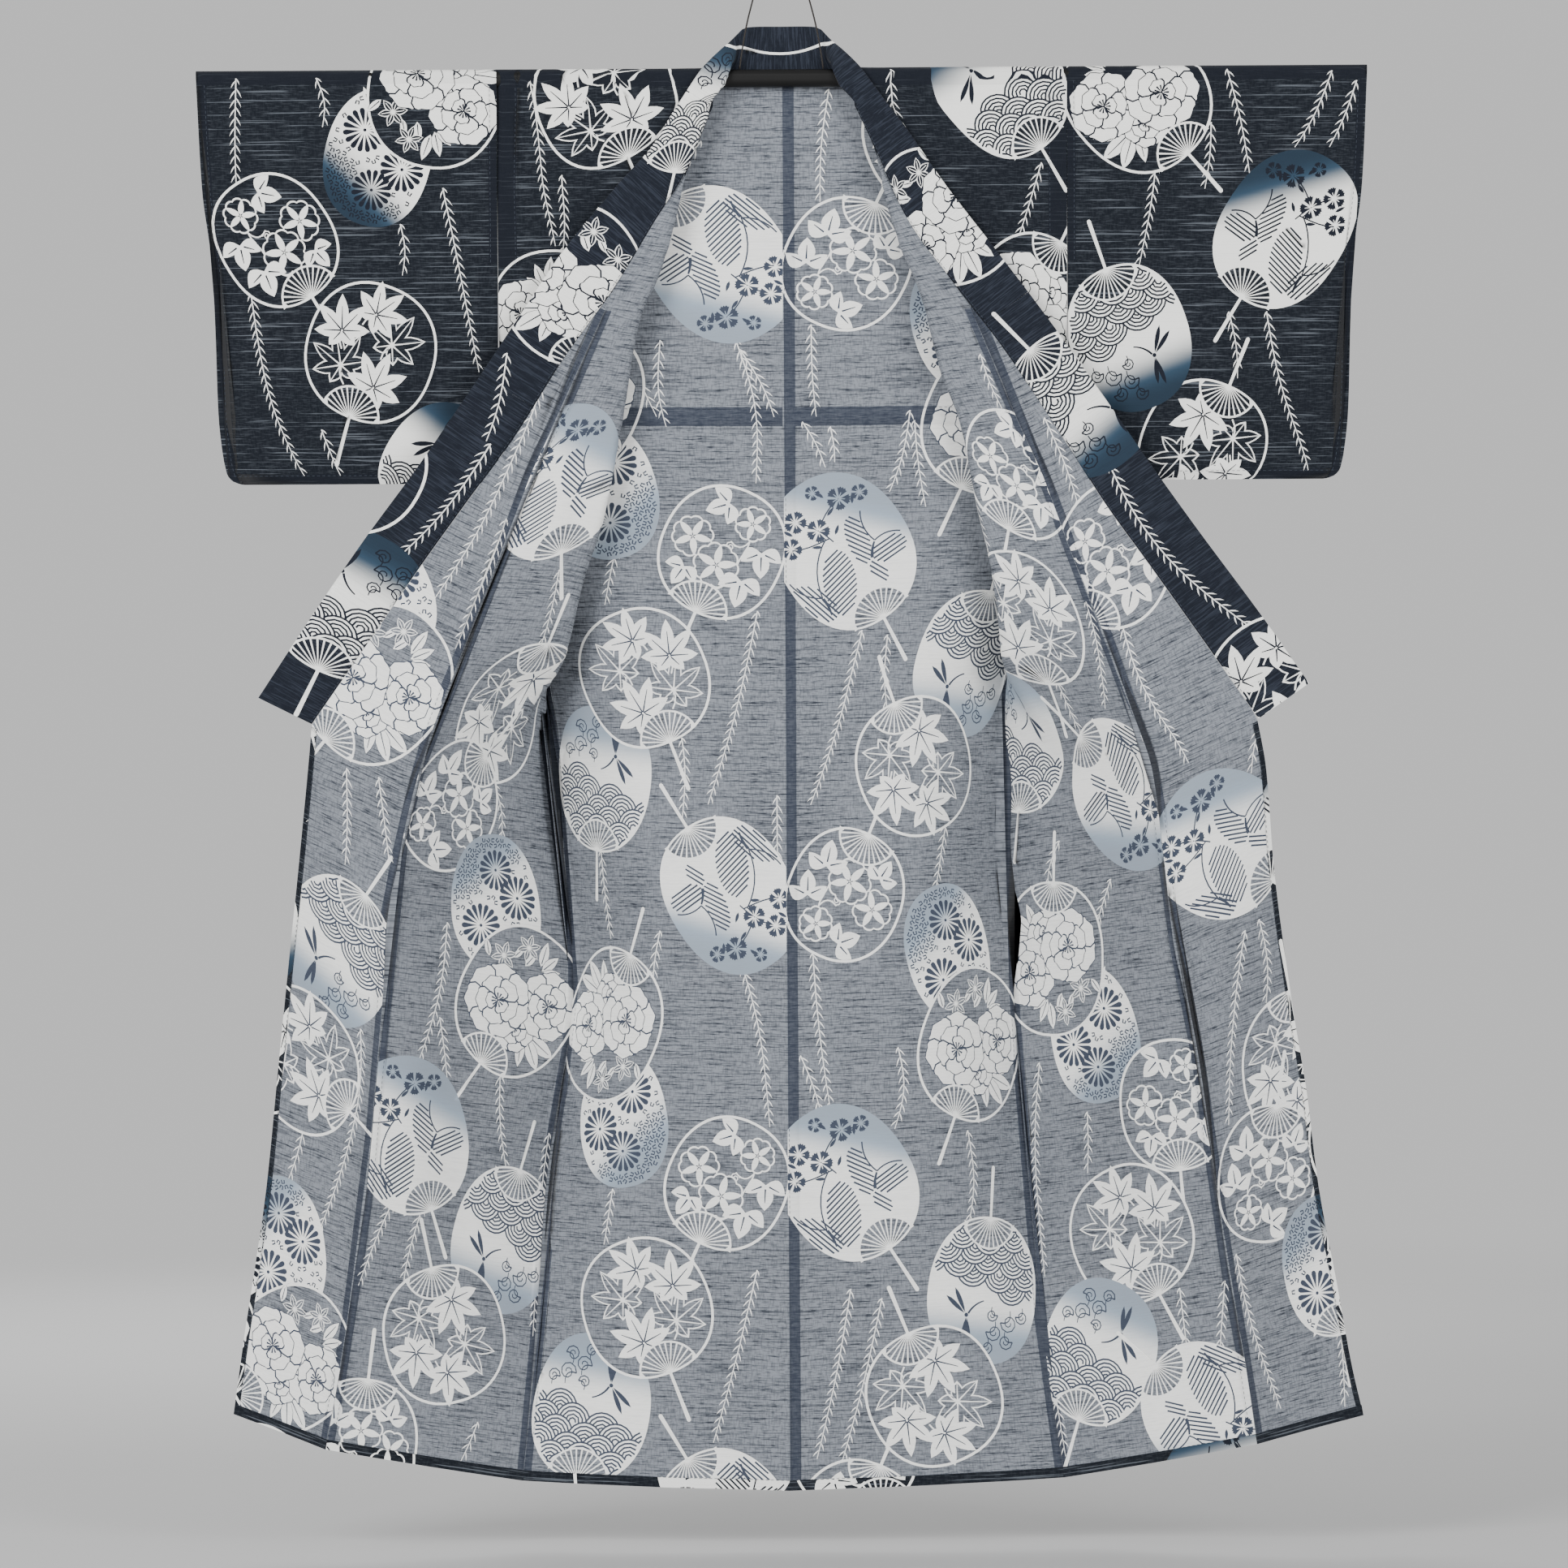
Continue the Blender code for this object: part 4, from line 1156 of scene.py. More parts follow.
def willow(path: Array) -> Drawing:
    """A hanging willow branch along a path, in the path's own mm.

    Args:
        path: the stem's corners, from its top.

    Returns:
        The branch, a stem with paired narrow leaves.
    """
    d = Drawing()
    stem = soft_path(path, 60)
    length = np.linalg.norm(np.diff(stem, axis=0), axis=1).sum()
    count = max(int(length / LEAF_PITCH), 2)
    marks = spaced(stem, np.linspace(0, 1, 2 * count + 1))
    d.line(Ink.WHITE, marks, 1.4, 0.9)
    for k in range(2 * count - 1):
        way = marks[k + 1] - marks[k]
        heading = math.atan2(way[1], way[0]) - math.pi / 2
        side = 1 if k % 2 else -1
        size = LEAF_LENGTH * min(1.0, 0.6 + 0.2 * k) * (1 - 0.12 * k / count)
        blade = np.array(LEAF_BLADE) * (side, size)
        start = marks[k] if k % 2 == 0 else marks[k] - way * 0.6
        d.area(Ink.WHITE, turned(blade, heading - side * 0.56, tuple(start)))
    return d


@dataclass(frozen=True)
class DoubledAndHangerShade:
    """A stretch of cloth, in (u, v), that stands proud inside and shows darker: most have a second layer
    behind; the band over the hanger is painted shade.
    """

    u_from: float
    u_to: float
    v_from: float
    v_to: float
    lift: float = 0.5

    def outline(self, margin: float = 0.0) -> list[Point2]:
        """Its four corners, moved out by a margin."""
        left, right = self.u_from - margin, self.u_to + margin
        top, foot = self.v_from - margin, self.v_to + margin
        return [(left, top), (right, top), (right, foot), (left, foot)]

    def height(self, u: Array, v: Array, margin: float) -> Array:
        """How far the inside face stands proud at each place, in mm."""
        out_u = np.maximum(np.maximum(self.u_from - u, u - self.u_to), 0.0)
        out_v = np.maximum(np.maximum(self.v_from - v, v - self.v_to), 0.0)
        return self.lift * np.clip(1 - np.maximum(out_u, out_v) / margin, 0.0, 1.0)


@dataclass(frozen=True)
class Laid:
    """A drawing in its place on the cloth: its centre, and its x and y in cloth directions."""

    drawing: Drawing
    centre: Array
    axes: Array

    def to_cloth(self, local: Array) -> Array:
        """Drawing places as (u, v)."""
        return local @ self.axes.T + self.centre

    def to_local(self, cloth: Array) -> Array:
        """(u, v) places as the drawing's own."""
        return (cloth - self.centre) @ self.axes


def ring_edges(rings: Sequence[Array]) -> list[tuple[int, int]]:
    """The edges of closed rings whose corners are numbered one ring after another."""
    edges, first = [], 0
    for ring in rings:
        last = first + len(ring) - 1
        edges += [(k, k + 1) for k in range(first, last)] + [(last, first)]
        first = last + 1
    return edges


def triangulated(places: Sequence[Array], edges: Sequence[Sequence[int]]) -> tuple[Array, Array]:
    """Triangles over places that keep these edges: their corners, and three numbers for each."""
    corners = [Vector(place) for place in np.vstack(places)]
    cut = delaunay_2d_cdt(corners, edges, [], 0, 0.02, False)
    return np.array([tuple(place) for place in cut[0]]), np.array(cut[2])


def inks_of(
    places: Array, triangles: Array, inked: Sequence[tuple[Array, tuple[Ink, int]]]
) -> tuple[Array, Array]:
    """Which ink lies uppermost on each triangle, and which drawing it belongs to."""
    middles = places[triangles].mean(axis=1)
    order = np.argsort(middles[:, 1])
    heights = middles[order, 1]
    inks = np.full(len(triangles), Ink.BARE.value)
    owners = np.full(len(triangles), -1)
    for ring, (ink, number) in inked:
        low, high = np.searchsorted(heights, (ring[:, 1].min(), ring[:, 1].max()))
        near = order[low:high]
        near = near[(middles[near, 0] > ring[:, 0].min()) & (middles[near, 0] < ring[:, 0].max())]
        near = near[within(middles[near], ring)]
        inks[near] = ink.value
        owners[near] = number
    return inks, owners


def ink_lines(triangles: Array, inks: Array, owners: Array) -> Array:
    """The edges, as pairs of corners, on whose two sides the ink differs."""
    key = inks + np.where(inks == Ink.FADE.value, (owners + 1) * 100, 0)
    sides = np.sort(np.vstack([triangles[:, [a, (a + 1) % 3]] for a in range(3)]), axis=1)
    order = np.lexsort((sides[:, 1], sides[:, 0]))
    sides, key = sides[order], np.tile(key, 3)[order]
    changes = np.all(sides[1:] == sides[:-1], axis=1) & (key[1:] != key[:-1])
    return sides[1:][changes]


# Rows of corners just under a panel's top edge, where it turns over the bar, in mm
FOLD_ROWS = (2.0, 4.0, 6.5, 9.5)
NEAR = 9.0  # mm past a panel's edges within which printed lines still cut it


@dataclass
class PrintedPanel:
    """One cut piece of printed cloth, made as a thin closed shell with its print in its faces.

    Fields:
        name: the piece's name.
        surface: the cloth hung in place.
        u_range: the least and greatest u of the piece.
        v_range: the least and greatest v.
        wall: the shell's thickness, in mm.
        sink: how far the strip lies inside the panel's middle, in mm.
        fold_v: the v about which a turned-up strip folds back, or None.
        step: spacing of the shell's own points, in mm.
        laid: the drawings printed on it, the lowest first.
        doubled_and_hanger_shade: its stretches with a second layer, and the band over the hanger, darkened
            as painted shade.
        margin: width of the step at such a stretch's edge.
        holes: outlines cut away.
        reach: the greatest u at a v, where the cut isn't a rectangle.
        rounding: radius of the long edges, in mm.
        corner: radius of the far lower corner, in mm.
    """

    name: str
    surface: Surface
    u_range: Point2
    v_range: Point2
    wall: float = 0.7
    sink: float = 0.0
    fold_v: float | None = None
    step: Point2 = (8.0, 14.0)
    laid: list[Laid] = field(default_factory=list)
    doubled_and_hanger_shade: list[DoubledAndHangerShade] = field(default_factory=list)
    margin: float = 0.7
    holes: list[list[Point2]] = field(default_factory=list)
    reach: Callable[[float], float] | None = None
    rounding: float = 0.0
    corner: float = 0.0

    def lay_seen(
        self, fan: tuple, drawings: dict[Motif, Drawing], columns: Point2, outside: bool = False
    ) -> None:
        """Print a fan where it shows in the view; seen from outside, it is the mirror image."""
        x, y, turn, motif, *aside = fan
        spot, axes = self.surface.find(*view_spot(x, y), columns)
        spin = turned(np.eye(2), math.radians(turn)).T @ np.diag([-1.0 if outside else 1.0, 1.0])
        middle = spot + axes @ np.array(aside[0] if aside else (0.0, 0.0))
        self.laid.append(Laid(drawings[motif], middle, axes @ spin))

    def lay_willow(self, stem: tuple[float, ...], columns: Point2) -> None:
        """Print a willow branch whose stem's corners show at these x and y in the view."""
        spots = [view_spot(x, y) for x, y in zip(stem[::2], stem[1::2])]
        path = [self.surface.find(*spot, columns)[0] for spot in spots]
        self.laid.append(Laid(willow(np.array(path)), np.zeros(2), np.eye(2)))

    def lay_at(self, drawing: Drawing, u: float, v: float, turn: float, axes: Array) -> None:
        """Print a drawing at a place of the cloth."""
        spin = turned(np.eye(2), math.radians(turn)).T
        self.laid.append(Laid(drawing, np.array([u, v]), axes @ spin))

    def _far_edge(self, v: float) -> float:
        """Where the far edge lies at a run, with its lower corner rounded."""
        past = min(max(v - self.v_range[1] + self.corner, 0.0), self.corner)
        return self.u_range[1] - self.corner + math.sqrt(self.corner**2 - past**2)

    def _outline(self) -> list[Point2]:
        """The cut's outline, with enough points on its edges."""
        (u0, u1), (v0, v1) = self.u_range, self.v_range
        reach = self.reach or self._far_edge
        shares = np.linspace(0, 1, max(int((u1 - u0) / self.step[0]), 2) + 1)
        vs = np.linspace(v0, v1, max(int((v1 - v0) / self.step[1]), 2) + 1)
        vs = np.union1d(vs, v0 + np.array(FOLD_ROWS))
        if self.corner:
            vs = np.union1d(vs, v1 - self.corner * (1 - np.sin(np.radians(np.arange(0, 90, 15)))))
        top = [(u0 + (reach(v0) - u0) * s, v0) for s in shares[:-1]]
        right = [(reach(v), v) for v in vs[:-1]]
        foot = [(u0 + (reach(v1) - u0) * s, v1) for s in shares[:0:-1]]
        left = [(u0, v) for v in vs[:0:-1]]
        return top + right + foot + left

    def _cut(self) -> tuple[Array, Array, Array, Array]:
        """Cut the cloth into triangles along every printed line.

        Returns:
            The (u, v) of the corners, the triangles, each triangle's ink and each one's drawing.
        """
        (u0, u1), (v0, v1) = self.u_range, self.v_range
        rings = [np.array(self._outline()), *(np.array(hole, float) for hole in self.holes)]
        plain = len(rings)
        for zone in self.doubled_and_hanger_shade:
            rings += [np.array(zone.outline()), np.array(zone.outline(self.margin))]
        zones = len(rings)
        printed: list[tuple[Ink, int]] = []
        for number, laid in enumerate(self.laid):
            for ink, outline in laid.drawing.shapes:
                cloth = laid.to_cloth(outline)
                low, high = cloth.min(axis=0), cloth.max(axis=0)
                if low[0] <= u1 and high[0] >= u0 and low[1] <= v1 and high[1] >= v0:
                    rings.append(cloth)
                    printed.append((ink, number))
        columns = list(np.arange(u0 + self.step[0], u1 - 2, self.step[0]))
        for share in (0.15, 0.45, 1.0) if self.rounding else ():
            columns += [u0 + self.rounding * share, u1 - self.rounding * share]
        rows = np.append(v0 + np.array(FOLD_ROWS), np.arange(v0 + self.step[1], v1 - 2, self.step[1]))
        grid = np.stack(np.meshgrid(columns, rows), axis=-1).reshape(-1, 2)
        inked = list(zip(rings[zones:], printed))
        places, triangles = triangulated([*rings, grid], ring_edges(rings))
        lines = ink_lines(triangles, *inks_of(places, triangles, inked))
        starts = places[lines[:, 0]]
        near = (starts > (u0 - NEAR, v0 - NEAR)) & (starts < (u1 + NEAR, v1 + NEAR))
        ends, lines = np.unique(lines[near.all(axis=1)], return_inverse=True)
        first = sum(len(ring) for ring in rings[:zones])
        edges = ring_edges(rings[:zones]) + (lines.reshape(-1, 2) + first).tolist()
        places, triangles = triangulated([*rings[:zones], places[ends], grid], edges)
        middles = places[triangles].mean(axis=1)
        kept = within(middles, rings[0])
        for hole in rings[1:plain]:
            kept &= ~within(middles, hole)
        used, triangles = np.unique(triangles[kept], return_inverse=True)
        places, triangles = places[used], triangles.reshape(-1, 3)
        return places, triangles, *inks_of(places, triangles, inked)

    def _print_colours(self, places: Array, triangles: Array, inks: Array, owners: Array) -> Array:
        """Each triangle corner's (white, blue, dark, doubled_and_hanger_shade), 0 to 1; the last marks
        second layers and the band of painted shade over the hanger.
        """
        print_ = np.zeros((len(triangles), 3, 4))
        print_[:, :, 0] = np.isin(inks, (Ink.WHITE.value, Ink.FADE.value))[:, None]
        print_[:, :, 2] = (inks == Ink.DARK.value)[:, None]
        for number, laid in enumerate(self.laid):
            chosen = np.flatnonzero((owners == number) & (inks == Ink.FADE.value))
            if len(chosen):
                local = laid.to_local(places[triangles[chosen]].reshape(-1, 2))
                print_[chosen, :, 1] = laid.drawing.fade(local).reshape(-1, 3)
        middles = places[triangles].mean(axis=1)
        for zone in self.doubled_and_hanger_shade:
            inside = (middles[:, 0] > zone.u_from) & (middles[:, 0] < zone.u_to)
            inside &= (middles[:, 1] > zone.v_from) & (middles[:, 1] < zone.v_to)
            print_[inside, :, 3] = 1.0
        return print_

    def build(self, faces: Sequence[Finish]) -> Piece:
        """Make the shell.

        Args:
            faces: the finish of the outer face and that of the inner face.

        Returns:
            The piece.
        """
        places, triangles, inks, owners = self._cut()
        print_ = self._print_colours(places, triangles, inks, owners)
        v = places[:, 1] if self.fold_v is None else 2 * self.fold_v - places[:, 1]
        middle, normal = self.surface.at(places[:, 0], v)
        middle = middle - normal * self.sink * MM
        inner_lift = np.zeros(len(places))
        for zone in self.doubled_and_hanger_shade:
            inner_lift = np.maximum(inner_lift, zone.height(places[:, 0], places[:, 1], self.margin))
        half = np.full(len(places), self.wall / 2)
        if self.rounding:
            edge = np.minimum(places[:, 0] - self.u_range[0], self.u_range[1] - places[:, 0])
            half *= np.sqrt(np.clip(1 - (1 - np.clip(edge / self.rounding, 0, 1)) ** 2, 0.04, 1))
        outer = middle + normal * (half * MM)[:, None]
        inner = middle - normal * ((half + inner_lift) * MM)[:, None]
        facing = self._facing(outer, normal, triangles)
        out_faces = np.where(facing[:, None] > 0, triangles, triangles[:, ::-1])
        out_print = np.where(facing[:, None, None] > 0, print_, print_[:, ::-1])
        in_faces = out_faces[:, ::-1] + len(places)
        edge_faces, rim_source = self._rim(out_faces, len(places))
        colours = np.concatenate([out_print, out_print[:, ::-1], out_print[rim_source] * 0])
        made = self._mesh(np.vstack([outer, inner]), [out_faces, in_faces, edge_faces], faces)
        mesh = made.data
        attribute = mesh.attributes.new("print", "FLOAT_COLOR", "CORNER")
        attribute.data.foreach_set("color", colours.astype(np.float32).ravel())
        corner = np.zeros(len(mesh.loops), np.int32)
        mesh.loops.foreach_get("vertex_index", corner)
        flat = np.vstack([places, places]) * MM
        layer = mesh.uv_layers.new(name="cloth")
        layer.uv.foreach_set("vector", flat[corner].astype(np.float32).ravel())
        mesh.set_sharp_from_angle(angle=math.radians(50))
        return made

    @staticmethod
    def _facing(points: Array, normal: Array, triangles: Array) -> Array:
        """Whether each triangle's own order turns it outwards."""
        a, b, c = (points[triangles[:, k]] for k in range(3))
        return np.einsum("ij,ij->i", np.cross(b - a, c - a), normal[triangles].sum(axis=1))

    @staticmethod
    def _rim(triangles: Array, shift: int) -> tuple[Array, Array]:
        """Triangles that close the shell's edges, and the triangle each one borders."""
        edges = np.vstack([triangles[:, [a, (a + 1) % 3]] for a in range(3)])
        owner = np.tile(np.arange(len(triangles)), 3)
        twin = {(a, b) for a, b in edges.tolist()}
        closing, source = [], []
        for (a, b), at in zip(edges.tolist(), owner.tolist()):
            if (b, a) not in twin:
                closing += [(b, a, a + shift), (b, a + shift, b + shift)]
                source += [at, at]
        return np.array(closing), np.array(source)

    def _mesh(self, points: Array, groups: list[Array], faces: Sequence[Finish]) -> Piece:
        """A smooth mesh of the outer, inner and edge triangles, with the two faces' finishes."""
        mesh = bpy.data.meshes.new(self.name)
        mesh.from_pydata(points, [], np.vstack(groups), shade_flat=False)
        for finish in faces:
            mesh.materials.append(finish)
        slots = np.repeat(np.array([0, 1, 0], np.int32), [len(group) for group in groups])
        mesh.polygons.foreach_set("material_index", slots)
        return added(self.name, mesh)


Colour = tuple[float, float, float]


class Nodes:
    """A short way to write a material's nodes."""

    def __init__(self, name: str) -> None:
        """Start a material with a Principled shader."""
        self.material = bpy.data.materials.new(name)
        self.material.use_nodes = True
        self.tree = self.material.node_tree
        self.shader = self.tree.nodes["Principled BSDF"]

    def node(
        self, kind: str, inputs: dict[str | int, object] | None = None, **settings: str
    ) -> bpy.types.Node:
        """A node with some of its inputs and its own settings."""
        made = self.tree.nodes.new(kind)
        for name, value in settings.items():
            setattr(made, name, value)
        return self.fill(made, inputs or {})

    def fill(self, node: bpy.types.Node, inputs: dict[str | int, object]) -> bpy.types.Node:
        """Link sockets into a node's inputs, or set their constants."""
        for name, value in inputs.items():
            if isinstance(value, Socket):
                self.tree.links.new(value, node.inputs[name])
            else:
                node.inputs[name].default_value = value
        return node

    def paint(self, colour: object, roughness: object, specular: float = 0.5, metallic: float = 0.0) -> None:
        """Fill the shader's main inputs."""
        inputs = {"Base Color": colour, "Roughness": roughness, "Metallic": metallic}
        self.fill(self.shader, {**inputs, "Specular IOR Level": specular})

    @property
    def place(self) -> Socket:
        """Where a point lies on its own object."""
        return self.node("ShaderNodeTexCoord").outputs["Object"]

    def math(self, kind: str, *values: object) -> Socket:
        """One math node."""
        return self.node("ShaderNodeMath", dict(enumerate(values)), operation=kind).outputs[0]

    def mix(self, share: object, first: object, second: object) -> Socket:
        """A mix of two colours."""
        full = [(*value, 1.0) if isinstance(value, tuple) else value for value in (first, second)]
        made = self.node("ShaderNodeMix", {"Factor": share}, data_type="RGBA")
        return self.fill(made, {6: full[0], 7: full[1]}).outputs[2]

    def stretched(self, source: object, scale: Colour) -> Socket:
        """A place scaled by different amounts along each axis."""
        return self.node("ShaderNodeMapping", {"Vector": source, "Scale": scale}).outputs["Vector"]

    def cloud(self, place: object, scale: float, detail: float = 2.0) -> Socket:
        """Noise from 0 to 1."""
        inputs = {"Vector": place, "Scale": scale, "Detail": detail}
        return self.node("ShaderNodeTexNoise", inputs).outputs["Fac"]

    def ramp(self, value: object, low: float, high: float) -> Socket:
        """0 below low, 1 above high."""
        inputs = {"Value": value, "From Min": low, "From Max": high}
        return self.node("ShaderNodeMapRange", inputs, interpolation_type="SMOOTHSTEP").outputs["Result"]

    def bump(self, height: object, distance: float, strength: float = 1.0) -> None:
        """Relief on the shader's normal."""
        inputs = {"Distance": distance, "Strength": strength, "Height": height}
        self.fill(self.shader, {"Normal": self.node("ShaderNodeBump", inputs).outputs["Normal"]})


def tint(red: float, green: float, blue: float) -> Colour:
    """A colour given as it looks, 0 to 255, as the shader needs it."""
    linear = []
    for value in (red, green, blue):
        share = value / 255
        linear.append(share / 12.92 if share <= 0.04045 else ((share + 0.055) / 1.055) ** 2.4)
    return tuple(linear)


@dataclass(frozen=True)
class CottonFace:
    """One face of the printed slub cotton.

    Fields:
        name: the material's name.
        ground: the dyed cloth.
        slub: its thick cross threads.
        doubled_and_hanger_shade: where a second layer lies behind, and the painted shade of the hanger under
            the cloth.
        white, blue, line: the printed colours.
        slub_share, fine_share: how strongly the thick and the thin cross threads show.
        slub_from: the lowest noise that makes a thick thread.
        warp_share: how strongly the long threads show.
        deep_share: how far the deepest blue goes towards the ground.
        slub_runs: how many thick threads begin in a metre of one row.
    """

    name: str
    ground: Colour
    slub: Colour
    doubled_and_hanger_shade: Colour
    white: Colour
    blue: Colour
    line: Colour
    slub_share: float
    fine_share: float
    slub_from: float
    warp_share: float
    deep_share: float
    slub_runs: float = 18.0

    def build(self) -> Finish:
        """The material."""
        n = Nodes(self.name)
        cloth = n.node("ShaderNodeUVMap", uv_map="cloth").outputs["UV"]
        print_ = n.node("ShaderNodeAttribute", attribute_name="print").outputs
        inks = n.node("ShaderNodeSeparateColor", {"Color": print_["Color"]}).outputs
        # folded marks second layers and the band of painted shade over the hanger
        white, blue, dark, folded = inks[0], inks[1], inks[2], print_["Alpha"]
        thick = n.cloud(n.stretched(cloth, (self.slub_runs, 480.0, 1.0)), 1.0, 3.0)
        thin = n.cloud(n.stretched(cloth, (90.0, 620.0, 1.0)), 1.0, 2.0)
        warp = n.cloud(n.stretched(cloth, (480.0, 110.0, 1.0)), 1.0, 2.0)
        patch = n.cloud(cloth, 9.0, 2.0)
        run = n.math("ADD", thick, n.math("MULTIPLY", patch, 0.12))
        streak = n.ramp(run, self.slub_from, self.slub_from + 0.07)
        fine = n.ramp(thin, 0.5, 0.62)
        threads = n.math("MULTIPLY", streak, self.slub_share)
        threads = n.math("ADD", threads, n.math("MULTIPLY", fine, self.fine_share))
        ground = n.mix(threads, self.ground, self.slub)
        ground = n.mix(n.math("MULTIPLY", n.ramp(warp, 0.42, 0.7), self.warp_share), ground, self.slub)
        # Darker ground where that mark is set: a second layer behind, and over the hanger painted shade
        layer = n.math("MULTIPLY", folded, n.math("ADD", 0.6, n.math("MULTIPLY", thin, 0.45)))
        ground = n.mix(layer, ground, self.doubled_and_hanger_shade)
        worn = n.math("MULTIPLY", threads, 0.16)
        paint = n.mix(n.ramp(blue, 0.0, 0.75), self.white, self.blue)
        paint = n.mix(n.math("MULTIPLY", n.ramp(blue, 0.6, 1.0), self.deep_share), paint, self.ground)
        # The print darkens where thick threads break it, and where the mark is set, which over the hanger is
        # painted shade
        paint = n.mix(n.math("ADD", worn, n.math("MULTIPLY", folded, 0.12)), paint, self.ground)
        colour = n.mix(white, ground, paint)
        line = n.mix(blue, self.line, self.doubled_and_hanger_shade)
        colour = n.mix(n.math("MULTIPLY", dark, 0.94), colour, line)
        n.paint(colour, 0.88, 0.25)
        n.fill(n.shader, {"Sheen Weight": 0.05, "Sheen Roughness": 0.5})
        relief = n.math("ADD", n.math("MULTIPLY", thick, 1.0), n.math("MULTIPLY", thin, 0.6))
        relief = n.math("ADD", relief, n.math("MULTIPLY", warp, 0.4))
        n.bump(relief, 0.0004, 0.35)
        return n.material


OUTSIDE = CottonFace(
    "navy_cotton", tint(7, 14, 24), tint(120, 127, 136), tint(10, 16, 27), tint(248, 248, 244),
    tint(46, 68, 87), tint(16, 22, 34), 0.42, 0.07, 0.64, 0.03, 0.6, 9.0,
)
COLLAR_FACE = CottonFace(
    "collar_cotton", tint(14, 20, 31), tint(48, 54, 66), tint(11, 17, 28), tint(248, 248, 244),
    tint(46, 68, 87), tint(18, 24, 36), 0.45, 0.2, 0.57, 0.05, 0.6, 24.0,
)
INSIDE = CottonFace(
    "pale_inside_cotton", tint(131, 136, 144), tint(30, 36, 47), tint(40, 47, 62),
    tint(248, 248, 245), tint(148, 163, 178), tint(54, 62, 78), 0.5, 0.42, 0.58, 0.36, 0.4,
)


@dataclass(frozen=True)
class HardFinish:
    """A hanger part's finish: one noise mixes two colours, another gives shine and relief.

    Fields:
        name: the material's name.
        colour, worn: the two colours.
        worn_scale, worn_range: the first noise's scale along each axis, and where its mix begins and ends.
        grain_scale: the second noise's scale.
        details: the noises' detail.
        roughness, relief: the least roughness, and the relief's height in metres and its strength.
        specular, metallic: as on the shader.
    """

    name: str
    colour: Colour
    worn: Colour
    worn_scale: Colour
    worn_range: Point2
    grain_scale: Colour
    details: Point2
    roughness: float
    relief: Point2
    specular: float = 0.5
    metallic: float = 0.0

    def build(self) -> Finish:
        """The material."""
        n = Nodes(self.name)
        place = n.place
        rub = n.cloud(n.stretched(place, self.worn_scale), 1.0, self.details[0])
        grain = n.cloud(n.stretched(place, self.grain_scale), 1.0, self.details[1])
        roughness = n.math("ADD", self.roughness, n.math("MULTIPLY", grain, 0.2))
        colour = n.mix(n.ramp(rub, *self.worn_range), self.colour, self.worn)
        n.paint(colour, roughness, self.specular, self.metallic)
        n.bump(grain, *self.relief)
        return n.material


LACQUER = HardFinish(
    "black_lacquer", (0.002, 0.002, 0.002), (0.012, 0.011, 0.01), (40.0, 260.0, 260.0), (0.62, 0.9),
    (3.0, 20.0, 20.0), (4.0, 3.0), 0.3, (0.0004, 0.3), specular=0.3,
)
WOOD = HardFinish(
    "arm_wood", (0.46, 0.27, 0.1), (0.24, 0.12, 0.04), (9.0, 340.0, 340.0), (0.35, 0.7),
    (9.0, 340.0, 340.0), (4.0, 4.0), 0.3, (0.0002, 0.4),
)
STEEL = HardFinish(
    "satin_steel", (0.55, 0.56, 0.57), (0.36, 0.36, 0.36), (160.0, 160.0, 160.0), (0.4, 0.8),
    (2200.0, 500.0, 500.0), (3.0, 3.0), 0.22, (0.0001, 0.3), metallic=1.0,
)


@dataclass(frozen=True)
class ThreadFinish:
    """Dark cord of two strands, or sewing thread.

    Fields:
        name: the material's name.
        light, dark: its colours; on the cord the dark one fills the grooves between the strands as painted
            shade.
        strands: how often its strands cross in a metre, or 0 for plain thread.
    """

    name: str
    light: Colour
    dark: Colour
    strands: float = 0.0

    def build(self) -> Finish:
        """The material."""
        n = Nodes(self.name)
        if not self.strands:
            fuzz = n.cloud(n.place, 1800.0, 2.0)
            n.paint(n.mix(fuzz, self.dark, self.light), 0.8)
            n.bump(fuzz, 0.0001, 0.5)
            return n.material
        place = n.node("ShaderNodeUVMap", uv_map="cord").outputs["UV"]
        axes = n.node("ShaderNodeSeparateXYZ", {0: place}).outputs
        lay = n.math("MULTIPLY", axes[1], self.strands)
        lay = n.math("ADD", n.math("MULTIPLY", axes[0], 2.0), lay)
        ridge = n.math("ABSOLUTE", n.math("SINE", n.math("MULTIPLY", lay, math.pi)))
        fibre = n.cloud(n.stretched(place, (40.0, 900.0, 1.0)), 1.0, 3.0)
        # Dark in the grooves between the strands as painted shade, the light colour on their crests, broken
        # by fibre noise
        n.paint(n.mix(n.math("MULTIPLY", ridge, fibre), self.dark, self.light), 0.75)
        n.bump(n.math("ADD", ridge, n.math("MULTIPLY", fibre, 0.3)), 0.0005, 0.8)
        return n.material


CORD = ThreadFinish("twisted_cord", (0.035, 0.027, 0.022), (0.008, 0.007, 0.006), 210.0)
SEWING = ThreadFinish("sewing_thread", (0.06, 0.075, 0.1), (0.02, 0.028, 0.045))

REPEAT = 742.0  # the print's repeat along the cloth
TURNED_BACK = 900.0  # y in the view above which a front shows the part that is turned back
TURNED_REPEAT = 796.0  # where the print comes round again, half a turn on, past the centre seam

# One repeat of the print beside the centre back seam, on the left: (fan, u, v, turn)
REPEAT_FANS = (
    (KIKU, 208, 495, 195), (BUTTERFLY, 70, 229, -147), (PEONY, 240, 385, 157), (MORNING, 72, 567, -25),
    (WAVE, 240, 836, -8), (MAPLE, 172, 716, 22),
)

